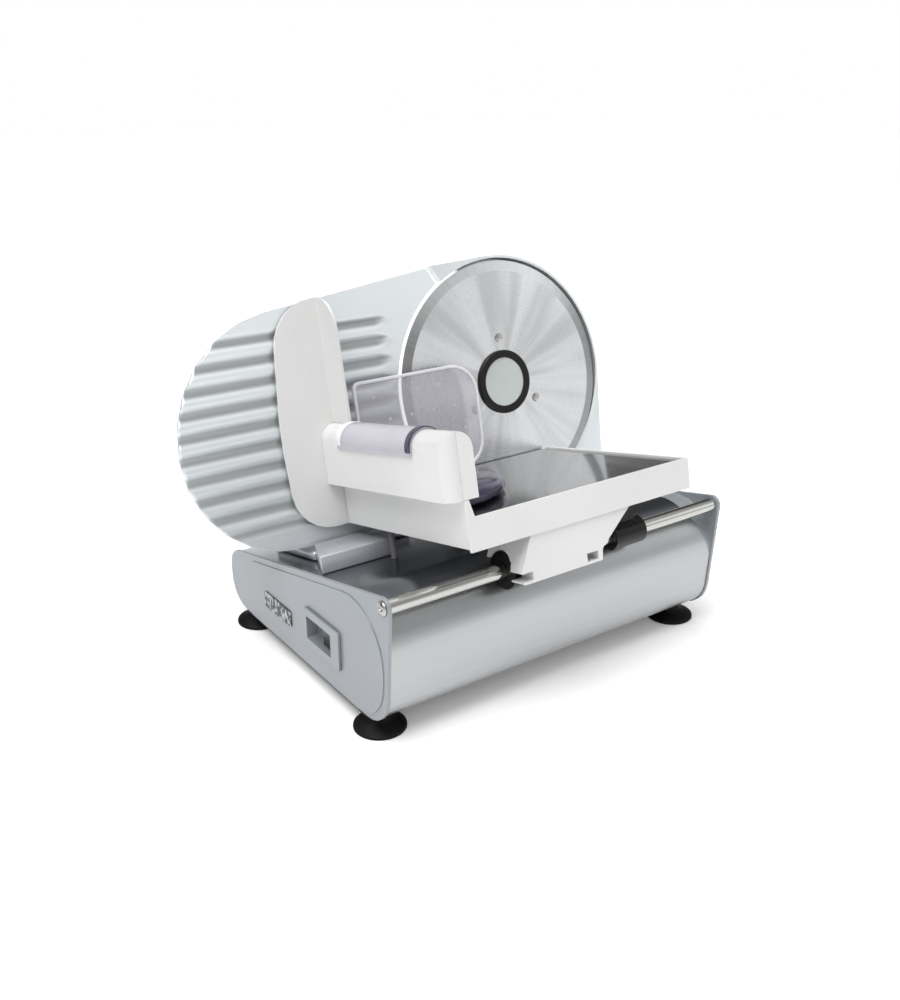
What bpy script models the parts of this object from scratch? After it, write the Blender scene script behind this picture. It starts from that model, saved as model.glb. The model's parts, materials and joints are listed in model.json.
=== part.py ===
"""Deli meat slicer: a domestic electric food slicer with a 229 mm blade, as named parts.

Frames, in metres with +Z up.  The base frame has its origin on the ground between the four
feet: X runs along the machine, Y from the operator to the back.  The deck frame has its origin
at the centre of the blade and leans back with the top of the base: its X is the same, its Y is
the direction square to the blade, called depth, and its Z lies in the blade's plane.
"""

from collections import namedtuple
from math import acos, asin, atan2, ceil, cos, pi, radians, sin, tan

import bmesh
import bpy
from mathutils import Matrix, Vector

# ---------------------------------------------------------------- driving dimensions
GAP = 0.0003                 # between two pieces that touch
ARC_STEP = radians(15)       # longest turn between two points of a rounded outline

# base
BASE_LENGTH = 0.355          # over the two end panels
BASE_FRONT = -0.1412         # lower front corner, along Y
BASE_BACK = 0.1388           # back face, along Y
BASE_UNDER = 0.0151          # lower edge of the end panels, above the ground
FRONT_LEAN = radians(3.6)    # the front face leans out towards its top
DECK_TILT = radians(13)      # the top of the base, the blade and the tray lean back
DECK_HEIGHT = 0.0999         # top edge of the end panels at Y = 0
NOSE_RADIUS = 0.0085         # end panels, round the end of the rod
FRONT_RADIUS = 0.031         # end panels, lower front corner
BACK_RADIUS = 0.022          # end panels, upper back corner
HEEL_RADIUS = 0.025          # end panels, lower back corner
PANEL_WALL = 0.003
PANEL_PROUD = 0.0012         # end panels stand this far outside the steel wrap
FIELD_HEIGHT = 0.0008        # raised field on the left panel
FIELD_INSET = 0.0055         # from the top and the front
FIELD_BACK = 0.042           # from the back
SHEET = 0.0015               # steel wrap
SHOULDER_WIDTH = 0.0185      # right panel's lip that continues the steel wrap
SHOULDER_BEND = 0.012        # below the nose, where that lip starts to taper
SHOULDER_FOOT = 0.072        # height at which it has tapered away
COVER_THICKNESS = 0.0034     # black plate under the base
COVER_INSET = 0.0012

# feet
FOOT_SPACING_X = 0.3288
FOOT_SPACING_Y = 0.2180
FOOT_RADIUS = 0.022
FOOT_NECK = 0.0085
FOOT_RIM = 0.0022
FOOT_SCREW_RADIUS = 0.0035

# rod
ROD_DIAMETER = 0.012
ROD_SCREW_RADIUS = 0.0062
ROD_SCREW_DOME = 0.0026
SHANK_RADIUS = 0.0022        # every screw

# blade and its hub
BLADE_RADIUS = 0.1145
BLADE_FROM_RIGHT = 0.1021    # blade centre from the right end of the base
BLADE_DEPTH = -0.0050        # front of the blade in the tilted depth direction, base frame
BLADE_THICKNESS = 0.0018
BEVEL_WIDTH = 0.0095
BEVEL_DROP = 0.0014
AXLE_RADIUS = 0.0075
HUB_RING_RADIUS = 0.0302
HUB_RING_BORE = 0.0232
HUB_RING_HEIGHT = 0.0024
HUB_CAP_HEIGHT = 0.0018
BLADE_SCREW_CIRCLE = 0.0421
BLADE_SCREW_RADIUS = 0.0042
BLADE_SCREWS = 3

# drive
TOOTH_MODULE = 0.0021
GEAR_TEETH = 50
PINION_TEETH = 8
GEAR_WIDTH = 0.0075
GEAR_BACKLASH = 0.0006       # added to the distance between the two axes
DRIVE_ANGLE = radians(-50)   # motor axis, seen from the front, from the blade centre
MOTOR_RADIUS = 0.028
MOTOR_LENGTH = 0.052
MOTOR_WALL = 0.003
MOTOR_SHAFT = 0.004
FAN_VANES = 8

# housing
BLADE_CLEARANCE = 0.0064     # blade edge above the deck
RING_GAP = 0.0025            # blade edge to the guard ring
RING_WALL = 0.0022
RING_FRONT = -0.0008         # front lip of the guard ring, in depth
WEB_BACK = 0.0175
WEB_THICKNESS = 0.0035
WEB_LEFT = -0.060            # slices fall to the left of this
HOUSING_FOOT_LEFT = -0.078
WING_BACK = 0.008            # upper left part of the housing is only this deep
HOUSING_RAKE = 0.0085        # how far back the front of the housing leans at its foot
COVER_LEFT = -0.018          # motor cover
COVER_TOP = 0.046
COVER_DEPTH = 0.072
COVER_WALL = 0.0025
VENT_SLOTS = 6

# thickness plate and its gauge
PLATE_THICKNESS = 0.0035
PLATE_FRONT = 0.0006         # behind the front of the blade when set to zero
PLATE_REACH = 0.3290         # left end, from the blade centre
PLATE_GAP = 0.0032           # arc edge to the blade edge
PLATE_FOOT = 0.0125          # lower edge above the deck
PLATE_SLOPE = 0.118          # top edge
PLATE_TOP_RADIUS = 0.107
PLATE_LOW_RADIUS = 0.095
PLATE_CUT = 0.0715           # where the top edge meets the slanted cut
PLATE_TRAVEL = 0.015
GROOVES = 9
GROOVE_TOP = 0.070           # uppermost groove above the blade centre
GROOVE_PITCH = 0.018
GROOVE_WIDTH = 0.015
GROOVE_DEPTH = 0.0010
GROOVE_END = 0.122           # grooves stop here, from the blade centre
GAUGE_X = -0.170             # gauge axis
GAUGE_LIFT = 0.042           # gauge axis above the deck
CARRIER_PLATE = 0.005
TONGUE_RADIUS = 0.009
TONGUE_BORE = 0.0052
TONGUE_LENGTH = 0.044
SCREW_SHAFT = 0.0046
TOWER_WIDTH = 0.070
TOWER_RISE = 0.027           # above the gauge axis
TOWER_WALL = 0.004
GAUGE_FOOT_LEFT = -0.2285
GAUGE_FOOT_WIDTH = 0.0985
GAUGE_FOOT_HEIGHT = 0.0078
KNOB_RADIUS = 0.021
KNOB_DEPTH = 0.021
KNOB_FLUTES = 16
BLOCK_LEFT = -0.246          # guide block in front of the plate
BLOCK_WIDTH = 0.072
BLOCK_HEIGHT = 0.0152
BLOCK_FRONT = -0.052
BLOCK_TAPER = 0.020          # narrower at its back, on the left

# carriage
TRAY_LEFT = -0.190
TRAY_RIGHT = 0.0406
TRAY_FRONT = -0.192
TRAY_BACK = -0.004
TRAY_RIM = 0.0502            # rim above the deck
SKIRT_DEPTH = 0.0264         # front skirt below the rim
SIDE_DEPTH = 0.0244          # left skirt below the rim
CARRIAGE_WALL = 0.0025
POST_WIDTH = 0.0071          # front skirt, foot of the raised end under the food wall
FLOOR_DROP = 0.0019          # steel floor below the rim
FLOOR_SHEET = 0.0013
GUARD_REACH = 0.051          # hand guard, to the left of the carriage side
GUARD_TOP = 0.2228           # hand guard above the deck
GUARD_FRONT = -0.0040
GUARD_THICKNESS = 0.0024
FIN_DEPTH = 0.028
WALL_OUTER = -0.204          # food wall on the left of the tray
WALL_WIDTH = 0.027
WALL_TOP = 0.1154            # above the deck
WALL_FOOT = 0.0640
BRACKET_LEFT = -0.1455       # at its foot
BRACKET_RIGHT = -0.063
BRACKET_LEFT_SPLAY = 0.0125  # how much further right its top starts
BRACKET_RIGHT_SPLAY = 0.034
BRACKET_FOOT = 0.0065        # below the rod axis
BRACKET_SETBACK = 0.002
CLIP_WIDTH = 0.012
CLIP_HEIGHT = 0.007
BRACKET_BACK = 0.0015        # metal behind the tunnel
TUNNEL_RADIUS = 0.0164       # holds the left bush
LEFT_BUSH_START = -0.1405
LEFT_BUSH_LENGTH = 0.028
RIGHT_BUSH_DIAMETER = 0.0236
RIGHT_BUSH_START = -0.0280
RIGHT_BUSH_LENGTH = 0.0345
BUSH_FIT = 0.0003            # round the rod
BUSH_LUG = 0.010
GLIDE_RADIUS = 0.0028
GLIDE_X = -0.183
GLIDE_DEPTH = -0.064

# food pusher
SLEEVE_FIT = 0.0003
SLEEVE_WALL = 0.0015
SLEEVE_BACK = -0.034
SLEEVE_LENGTH = 0.116
SLEEVE_HANG = 0.005          # sleeve edges below its axis
PUSHER_RIGHT = -0.0415
PUSHER_TOP = 0.1468          # above the deck
PUSHER_PLATE = 0.0035
PUSHER_BACK = -0.0105
PUSHER_CORNER = 0.028
ARM_WALL = 0.0028
SHELF_REACH = 0.095          # half width of its elliptical edge
SHELF_MIDDLE = -0.040        # depth of the ellipse's centre
SHELF_FRONT = -0.162
SHELF_THICKNESS = 0.006
SPIKE_HEIGHT = 0.003
SPIKE_RADIUS = 0.0016

# switch, badge and cord inlet
SWITCH_Y = -0.0445
SWITCH_Z = 0.0550
BEZEL_LENGTH = 0.059
BEZEL_HEIGHT = 0.036
BEZEL_PROUD = 0.0022
POCKET_LENGTH = 0.041
POCKET_HEIGHT = 0.021
POCKET_SHIFT = 0.0045
POCKET_DEPTH = 0.009
POCKET_WALL = 0.002
ROCKER_LENGTH = 0.020
ROCKER_TILT = radians(8)
BADGE_Y = 0.0383
BADGE_Z = 0.0466
BADGE_LENGTH = 0.0505
BADGE_HEIGHT = 0.0152
BADGE_THICKNESS = 0.0009
INLET_Y = 0.090
INLET_Z = 0.040
INLET_RADIUS = 0.0065
INLET_BORE = 0.0036

# ---------------------------------------------------------------- sizes that follow
PARTS = "deli_meat_slicer"
CUTTERS = "cutters"
OVERRUN = 0.02                # how far a cutter runs past what it cuts

Body = namedtuple("Body", "empty home")

ALONG_X = Matrix.Rotation(pi / 2, 4, "Z") @ Matrix.Rotation(pi / 2, 4, "X")
ALONG_Y = Matrix.Rotation(pi / 2, 4, "X")
UPRIGHT = Matrix.Identity(4)

HALF_LENGTH = BASE_LENGTH / 2
NOSE_HALF = (pi / 2 - DECK_TILT - FRONT_LEAN) / 2
DECK = -(BLADE_RADIUS + BLADE_CLEARANCE)
BLADE_X = HALF_LENGTH - BLADE_FROM_RIGHT
PANEL_TOP = DECK_HEIGHT * cos(DECK_TILT)
BLADE_UP = PANEL_TOP - PANEL_PROUD - DECK
BLADE_CENTRE = Vector((
    BLADE_X,
    BLADE_DEPTH * cos(DECK_TILT) + BLADE_UP * sin(DECK_TILT),
    BLADE_UP * cos(DECK_TILT) - BLADE_DEPTH * sin(DECK_TILT),
))


def nose_corner(inset=0.0):
    """Sharp upper front corner of the base profile, moved in by inset from both faces."""
    top = (PANEL_TOP - inset) / cos(DECK_TILT)
    front = BASE_FRONT + inset / cos(FRONT_LEAN) + BASE_UNDER * tan(FRONT_LEAN)
    y = (front - top * tan(FRONT_LEAN)) / (1 - tan(DECK_TILT) * tan(FRONT_LEAN))
    return y, top - y * tan(DECK_TILT)


def to_deck(y, z):
    """Depth and height of a base-frame point, from the blade centre."""
    depth = y * cos(DECK_TILT) - z * sin(DECK_TILT)
    height = y * sin(DECK_TILT) + z * cos(DECK_TILT)
    return depth - BLADE_DEPTH, height - BLADE_UP


NOSE_Y, NOSE_Z = nose_corner()
BISECTOR = -(DECK_TILT + NOSE_HALF)
ROD_Y = NOSE_Y + NOSE_RADIUS / sin(NOSE_HALF) * cos(BISECTOR)
ROD_Z = NOSE_Z + NOSE_RADIUS / sin(NOSE_HALF) * sin(BISECTOR)
ROD_RADIUS = ROD_DIAMETER / 2
ROD_DEPTH, ROD_HEIGHT = to_deck(ROD_Y, ROD_Z)

RIM = DECK + TRAY_RIM
FLOOR_TOP = RIM - FLOOR_DROP
FLOOR_UNDER = FLOOR_TOP - FLOOR_SHEET
WEB_FRONT = WEB_BACK - WEB_THICKNESS
PITCH_RADIUS = TOOTH_MODULE * GEAR_TEETH / 2
PINION_RADIUS = TOOTH_MODULE * PINION_TEETH / 2
DRIVE_REACH = PITCH_RADIUS + PINION_RADIUS + GEAR_BACKLASH
MOTOR_X = DRIVE_REACH * cos(DRIVE_ANGLE)
MOTOR_UP = DRIVE_REACH * sin(DRIVE_ANGLE)
GEAR_FRONT = BLADE_THICKNESS + GAP
GAUGE_UP = DECK + GAUGE_LIFT
PLATE_BACK = PLATE_FRONT + PLATE_THICKNESS
CARRIER_BACK = PLATE_BACK + GAP + CARRIER_PLATE
TONGUE_END = CARRIER_BACK + TONGUE_LENGTH
TOWER_FRONT = CARRIER_BACK + PLATE_TRAVEL + 0.002
TOWER_BACK = TONGUE_END + PLATE_TRAVEL + 0.002 + TOWER_WALL
WALL_AXIS_X = WALL_OUTER + WALL_WIDTH / 2
WALL_AXIS_UP = DECK + WALL_TOP - WALL_WIDTH / 2
WALL_INNER = WALL_OUTER + WALL_WIDTH
SLEEVE_OUTER = WALL_WIDTH / 2 + SLEEVE_FIT + SLEEVE_WALL
SLEEVE_FRONT = SLEEVE_BACK - SLEEVE_LENGTH
ARM_LEFT = WALL_AXIS_X + SLEEVE_OUTER + GAP
PUSHER_LEFT = ARM_LEFT + ARM_WALL + GAP
PUSHER_FOOT = RIM + 0.0008
POCKET_Y = SWITCH_Y + POCKET_SHIFT


# ---------------------------------------------------------------- outlines
def rounded(corners):
    """Closed outline through (x, y, radius) corners, each rounded by an arc of its radius."""
    points = []
    for index, (x, y, radius) in enumerate(corners):
        corner = Vector((x, y))
        before = (Vector(corners[index - 1][:2]) - corner).normalized()
        after = (Vector(corners[(index + 1) % len(corners)][:2]) - corner).normalized()
        if radius <= 0:
            points.append((x, y))
            continue
        half = before.angle(after) / 2
        centre = corner + (before + after).normalized() * (radius / sin(half))
        start = corner + before * (radius / tan(half)) - centre
        end = corner + after * (radius / tan(half)) - centre
        first = atan2(start.y, start.x)
        turn = (atan2(end.y, end.x) - first + pi) % (2 * pi) - pi
        points += arc(centre.x, centre.y, radius, first, first + turn)
    return points


def arc(x, y, radius, first, last, radius_y=None, steps=None):
    """Points on a circular or elliptical arc, both ends included."""
    steps = steps or max(1, ceil(abs(last - first) / ARC_STEP))
    high = radius if radius_y is None else radius_y
    angles = [first + (last - first) * step / steps for step in range(steps + 1)]
    return [(x + radius * cos(angle), y + high * sin(angle)) for angle in angles]


def rectangle(left, right, low, high, radius=0.0):
    """Rectangular outline with rounded corners."""
    return rounded([(left, low, radius), (right, low, radius), (right, high, radius), (left, high, radius)])


def panel_outline(inset=0.0, nose=NOSE_RADIUS):
    """Side profile of the base as (y, z), moved in by inset, with its own upper front radius."""
    nose_y, nose_z = nose_corner(inset)
    back = BASE_BACK - inset
    under = BASE_UNDER + inset
    top_back = (PANEL_TOP - inset) / cos(DECK_TILT) - back * tan(DECK_TILT)
    front = BASE_FRONT + inset / cos(FRONT_LEAN) - inset * tan(FRONT_LEAN)
    return rounded([
        (front, under, FRONT_RADIUS - inset),
        (back, under, HEEL_RADIUS - inset),
        (back, top_back, BACK_RADIUS - inset),
        (nose_y, nose_z, nose),
    ])


def wrap_nose(inset):
    """Upper front radius that keeps the wrap clear of the bushes on the rod."""
    reach = (NOSE_RADIUS - PANEL_PROUD) / sin(NOSE_HALF)
    outer = (TUNNEL_RADIUS + BUSH_FIT + reach) / (1 / sin(NOSE_HALF) - 1)
    return outer - (inset - PANEL_PROUD)


def field_outline():
    """Raised field of the left panel, as (y, z)."""
    corner_y, corner_z = nose_corner(FIELD_INSET)
    back = BASE_BACK - FIELD_BACK
    top = corner_z - (back - corner_y) * tan(DECK_TILT)
    low = BASE_UNDER + GAP
    front = BASE_FRONT + FIELD_INSET
    return rounded([(front, low, 0.040), (back, low, 0), (back, top, 0.015), (corner_y, corner_z, 0.048)])


def gear_outline(teeth, pitch_radius, phase):
    """Straight-sided teeth: flat tips and roots, each narrower than half the pitch."""
    tip = pitch_radius + 0.75 * TOOTH_MODULE
    root = pitch_radius - 1.0 * TOOTH_MODULE
    pitch = 2 * pi / teeth
    shape = [(-0.26, root), (-0.12, tip), (0.12, tip), (0.26, root)]
    points = []
    for tooth in range(teeth):
        for share, radius in shape:
            angle = phase + pitch * (tooth + share)
            points.append((radius * cos(angle), radius * sin(angle)))
    return points


# ---------------------------------------------------------------- modelling helpers
def collection(name):
    """The scene's collection of this name."""
    found = bpy.data.collections.get(name)
    if found is None:
        found = bpy.data.collections.new(name)
        bpy.context.scene.collection.children.link(found)
    return found


def body(name, parent, home):
    """An empty at a joint axis; home is its place in the parent's own coordinates."""
    empty = bpy.data.objects.new(name, None)
    empty.empty_display_size = 0.02
    collection(PARTS).objects.link(empty)
    centre = Vector(home)
    if parent is not None:
        empty.parent = parent.empty
        empty.location = centre - parent.home
    return Body(empty, centre)


def place(thing, owner, cutter=False):
    """Hang an object on a body; its transform is given in the frame that the body lies in."""
    for held in list(thing.users_collection):
        held.objects.unlink(thing)
    collection(CUTTERS if cutter else PARTS).objects.link(thing)
    if cutter:
        thing.hide_render = True
        thing.display_type = "WIRE"
    thing.parent = owner.empty
    thing.matrix_basis = Matrix.Translation(-owner.home) @ thing.matrix_basis
    return thing


def smooth(mesh, sharp=35):
    """Shade round faces smooth and keep edges over the given angle sharp."""
    mesh.shade_smooth()
    mesh.set_sharp_from_angle(angle=radians(sharp))


def box(name, owner, low, high, cutter=False):
    """Box between two corners."""
    bpy.ops.mesh.primitive_cube_add(size=1.0)
    cube = bpy.context.object
    cube.name = name
    low, high = Vector(low), Vector(high)
    cube.data.transform(Matrix.Diagonal(high - low).to_4x4())
    cube.matrix_basis = Matrix.Translation((low + high) / 2)
    return place(cube, owner, cutter)


def cylinder(name, owner, centre, radius, start, end, axis=ALONG_Y, sides=32, cutter=False, top=None):
    """Cylinder or cone along an axis; centre is the point on the axis at distance zero."""
    shape = bmesh.new()
    bmesh.ops.create_cone(
        shape,
        cap_ends=True,
        segments=sides,
        radius1=radius,
        radius2=radius if top is None else top,
        depth=abs(end - start),
    )
    mesh = bpy.data.meshes.new(name)
    shape.to_mesh(mesh)
    shape.free()
    smooth(mesh)
    made = bpy.data.objects.new(name, mesh)
    flip = -1 if axis is ALONG_Y else 1
    middle = Matrix.Translation((0, 0, flip * (start + end) / 2))
    turn = Matrix.Rotation(pi, 4, "X") if (end < start) != (flip < 0) else UPRIGHT
    made.matrix_basis = Matrix.Translation(centre) @ axis @ middle @ turn
    return place(made, owner, cutter)


def solid(name, owner, outlines, start, end, axis=ALONG_Y, centre=(0, 0, 0), cutter=False):
    """Flat outlines, given as (x, y) in the axis's own plane, extruded from start to end.

    Along Y the outline is seen from the front as (X, Z); along X it is (Y, Z)."""
    curve = bpy.data.curves.new(name, "CURVE")
    curve.dimensions = "2D"
    curve.fill_mode = "BOTH"
    curve.extrude = abs(end - start) / 2
    for outline in outlines:
        spline = curve.splines.new("POLY")
        spline.points.add(len(outline) - 1)
        for point, (x, y) in zip(spline.points, outline):
            point.co = (x, y, 0, 1)
        spline.use_cyclic_u = True
    drawn = bpy.data.objects.new(name, curve)
    flip = -1 if axis is ALONG_Y else 1
    middle = Matrix.Translation((0, 0, flip * (start + end) / 2))
    drawn.matrix_basis = Matrix.Translation(centre) @ axis @ middle
    collection(PARTS).objects.link(drawn)
    seen = drawn.evaluated_get(bpy.context.evaluated_depsgraph_get())
    mesh = bpy.data.meshes.new_from_object(seen)
    mesh.name = name
    welded = bmesh.new()
    welded.from_mesh(mesh)
    bmesh.ops.remove_doubles(welded, verts=welded.verts, dist=0.00001)
    bmesh.ops.recalc_face_normals(welded, faces=welded.faces)
    welded.to_mesh(mesh)
    welded.free()
    smooth(mesh)
    stand = drawn.matrix_basis.copy()
    bpy.data.objects.remove(drawn)
    made = bpy.data.objects.new(name, mesh)
    made.matrix_basis = stand
    return place(made, owner, cutter)


def turned(name, owner, centre, profile, axis=ALONG_Y, steps=32):
    """Turned shape: profile is (radius, height), listed from the top down its outer side.

    A profile that starts off the axis closes on itself and leaves a bore.  Height is measured
    towards the front for an axis along Y, and along the axis for the others."""
    edges = [(index, index + 1) for index in range(len(profile) - 1)]
    if profile[0][0] > 0:
        edges.append((len(profile) - 1, 0))
    mesh = bpy.data.meshes.new(name)
    mesh.from_pydata([(radius, 0, height) for radius, height in profile], edges, [])
    made = bpy.data.objects.new(name, mesh)
    made.matrix_basis = Matrix.Translation(centre) @ axis
    screw = made.modifiers.new("turn", "SCREW")
    screw.steps = steps
    screw.render_steps = steps
    screw.use_merge_vertices = True
    screw.merge_threshold = 0.00001
    screw.use_smooth_shade = True
    return place(made, owner)


def boolean(target, operation, *others):
    """Cut, join or keep the common volume with other solids, exactly."""
    for other in others:
        step = target.modifiers.new(other.name, "BOOLEAN")
        step.operation = operation
        step.solver = "EXACT"
        step.object = other
    return target


def soften(target, width, segments=2, angle=40):
    """Round the edges that are sharper than the angle."""
    bevel = target.modifiers.new("edges", "BEVEL")
    bevel.width = width
    bevel.segments = segments
    bevel.limit_method = "ANGLE"
    bevel.angle_limit = radians(angle)
    return target


def finish(target, colour, roughness, metallic=0.0, alpha=1.0):
    """The sub-part's own material."""
    made = bpy.data.materials.new(target.name + "_finish")
    made.use_nodes = True
    shader = made.node_tree.nodes["Principled BSDF"]
    shader.inputs["Base Color"].default_value = (*colour, 1)
    shader.inputs["Roughness"].default_value = roughness
    shader.inputs["Metallic"].default_value = metallic
    shader.inputs["Alpha"].default_value = alpha
    target.data.materials.clear()
    target.data.materials.append(made)
    return target


PANEL_GREY = (0.42, 0.44, 0.46)
STEEL = (0.62, 0.64, 0.66)
CHROME = (0.78, 0.78, 0.77)
CASTING = (0.76, 0.76, 0.75)
PLATE_SILVER = (0.62, 0.66, 0.69)
BLACK = (0.012, 0.012, 0.014)
SMOKE = (0.42, 0.40, 0.46)
NYLON = (0.80, 0.79, 0.74)


# ---------------------------------------------------------------- base
def seam(grow=0.0):
    """Region of the wrap, seen from the front, that the right panel's shoulder takes over."""
    left = HALF_LENGTH - PANEL_WALL - SHOULDER_WIDTH - grow
    right = HALF_LENGTH + OVERRUN
    high = NOSE_Z + OVERRUN
    bend = NOSE_Z - SHOULDER_BEND
    edge = HALF_LENGTH - PANEL_WALL + GAP
    slope = (bend - SHOULDER_FOOT) / (edge - left)
    return [(right, high), (left, high), (left, bend), (right, bend - slope * (right - left) - grow)]


def wrap_ring():
    """Outer and inner outline of the steel wrap."""
    inner = PANEL_PROUD + SHEET
    return [panel_outline(PANEL_PROUD, wrap_nose(PANEL_PROUD)), panel_outline(inner, wrap_nose(inner))]


def base_wrap(root):
    """One bent steel sheet: front, sloping top and back, open underneath."""
    end = HALF_LENGTH - PANEL_WALL - GAP
    wrap = solid("base_wrap", root, wrap_ring(), -end, end, ALONG_X)
    mouth = box(
        "wrap_mouth",
        root,
        (-BASE_LENGTH, BASE_FRONT + 2 * FRONT_RADIUS, 0),
        (BASE_LENGTH, BASE_BACK - 2 * FRONT_RADIUS, BASE_UNDER + 3 * SHEET),
        cutter=True,
    )
    lip = solid("wrap_seam", root, [seam(GAP)], BASE_FRONT - OVERRUN, BASE_BACK + OVERRUN, cutter=True)
    holes = [
        cylinder(
            f"wrap_hole_{side}",
            root,
            (x, y, 0),
            SHANK_RADIUS + GAP,
            0,
            BASE_UNDER + OVERRUN,
            UPRIGHT,
            16,
            True,
        )
        for side, x, y in foot_places()
    ]
    boolean(wrap, "DIFFERENCE", mouth, lip, *holes)
    return finish(wrap, STEEL, 0.28, 1.0)


def left_panel(root):
    """End panel with its raised field and the opening for the switch."""
    panel = solid("left_panel", root, [panel_outline()], -HALF_LENGTH, PANEL_WALL - HALF_LENGTH, ALONG_X)
    field = solid(
        "left_field",
        root,
        [field_outline()],
        -HALF_LENGTH - FIELD_HEIGHT,
        0.001 - HALF_LENGTH,
        ALONG_X,
        cutter=True,
    )
    opening = solid(
        "switch_opening",
        root,
        [pocket_outline(POCKET_WALL + GAP)],
        -HALF_LENGTH - OVERRUN,
        -HALF_LENGTH + OVERRUN,
        ALONG_X,
        cutter=True,
    )
    boolean(panel, "UNION", field)
    boolean(panel, "DIFFERENCE", opening, rod_screw_hole("left", root))
    return finish(panel, PANEL_GREY, 0.42, 0.35)


def right_panel(root):
    """End panel whose shoulder carries on the steel wrap, with the hole for the cord inlet."""
    panel = solid("right_panel", root, [panel_outline()], HALF_LENGTH - PANEL_WALL, HALF_LENGTH, ALONG_X)
    start = HALF_LENGTH - PANEL_WALL - SHOULDER_WIDTH - OVERRUN
    shoulder = solid(
        "shoulder",
        root,
        wrap_ring(),
        start,
        HALF_LENGTH - PANEL_WALL + 0.001,
        ALONG_X,
        cutter=True,
    )
    kept = solid("shoulder_seam", root, [seam()], BASE_FRONT - OVERRUN, BASE_BACK + OVERRUN, cutter=True)
    boolean(shoulder, "INTERSECT", kept)
    inlet = cylinder(
        "inlet_hole",
        root,
        (0, INLET_Y, INLET_Z),
        INLET_RADIUS + GAP,
        HALF_LENGTH - OVERRUN,
        HALF_LENGTH + OVERRUN,
        ALONG_X,
        24,
        True,
    )
    boolean(panel, "UNION", shoulder)
    boolean(panel, "DIFFERENCE", inlet, rod_screw_hole("right", root))
    return finish(panel, PANEL_GREY, 0.42, 0.35)


def base_cover(root):
    """Black plate that closes the base underneath and carries the feet."""
    front = BASE_FRONT + FRONT_RADIUS
    back = BASE_BACK - HEEL_RADIUS
    side = HALF_LENGTH - COVER_INSET
    outline = rectangle(-side, side, front, back, 0.006)
    cover = solid("base_cover", root, [outline], BASE_UNDER - COVER_THICKNESS, BASE_UNDER - GAP, UPRIGHT)
    holes = [
        cylinder(
            f"cover_hole_{side_name}",
            root,
            (x, y, 0),
            SHANK_RADIUS + GAP,
            0,
            OVERRUN,
            UPRIGHT,
            16,
            True,
        )
        for side_name, x, y in foot_places()
    ]
    boolean(cover, "DIFFERENCE", *holes)
    return finish(cover, BLACK, 0.6)


def foot_places():
    """Name and centre of each foot."""
    sides = (("left", -1), ("right", 1))
    ends = (("front", -1), ("back", 1))
    return [
        (f"{end}_{side}", x * FOOT_SPACING_X / 2, y * FOOT_SPACING_Y / 2)
        for end, y in ends
        for side, x in sides
    ]


def feet(root):
    """Four suction feet, each held by a screw from below."""
    top = BASE_UNDER - COVER_THICKNESS - GAP
    seat = 0.6 * top
    for place_name, x, y in foot_places():
        profile = [
            (SHANK_RADIUS + GAP, top),
            (FOOT_NECK, top),
            (FOOT_NECK + 0.0012, 0.78 * top),
            (FOOT_RADIUS - 0.0012, FOOT_RIM + 0.0014),
            (FOOT_RADIUS, FOOT_RIM),
            (FOOT_RADIUS, 0),
            (FOOT_RADIUS - 0.0035, 0),
            (1.6 * FOOT_SCREW_RADIUS, 0.34 * top),
            (1.4 * FOOT_SCREW_RADIUS, seat),
            (SHANK_RADIUS + GAP, seat),
        ]
        foot = turned(f"foot_{place_name}", root, (x, y, 0), profile, UPRIGHT, 24)
        finish(foot, BLACK, 0.75)
        down = Matrix.Rotation(pi, 4, "X")
        screw = cross_screw(
            f"foot_screw_{place_name}",
            root,
            (x, y, seat - GAP),
            down,
            FOOT_SCREW_RADIUS,
            0.0018,
            0.012,
        )
        finish(screw, STEEL, 0.4, 1.0)


def cross_screw(name, owner, seat, turn, head_radius, dome, length, sides=20):
    """Pan-head screw with a cross recess; turn takes its own +Z to the side its head faces."""
    profile = [
        (0, dome),
        (0.45 * head_radius, 0.9 * dome),
        (0.8 * head_radius, 0.6 * dome),
        (head_radius, 0.18 * dome),
        (head_radius, 0),
        (SHANK_RADIUS, 0),
        (SHANK_RADIUS, -length),
        (0, -length),
    ]
    screw = turned(name, owner, seat, profile, turn, sides)
    arm, half = 0.55 * head_radius, 0.11 * head_radius
    cross = []
    for quarter in range(4):
        spin = Matrix.Rotation(radians(11) + quarter * pi / 2, 2)
        cross += [tuple(spin @ Vector(point)) for point in ((arm, -half), (arm, half), (half, half))]
    recess = solid(name + "_recess", owner, [cross], 0.35 * dome, 2 * dome, turn, seat, cutter=True)
    return boolean(screw, "DIFFERENCE", recess)


def rod_screw_hole(side, root):
    """Clearance hole in an end panel for the screw into the rod."""
    outward = -1 if side == "left" else 1
    centre = (outward * HALF_LENGTH, ROD_Y, ROD_Z)
    return cylinder(
        f"rod_hole_{side}",
        root,
        centre,
        SHANK_RADIUS + GAP,
        -OVERRUN,
        OVERRUN,
        ALONG_X,
        16,
        True,
    )


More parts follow.
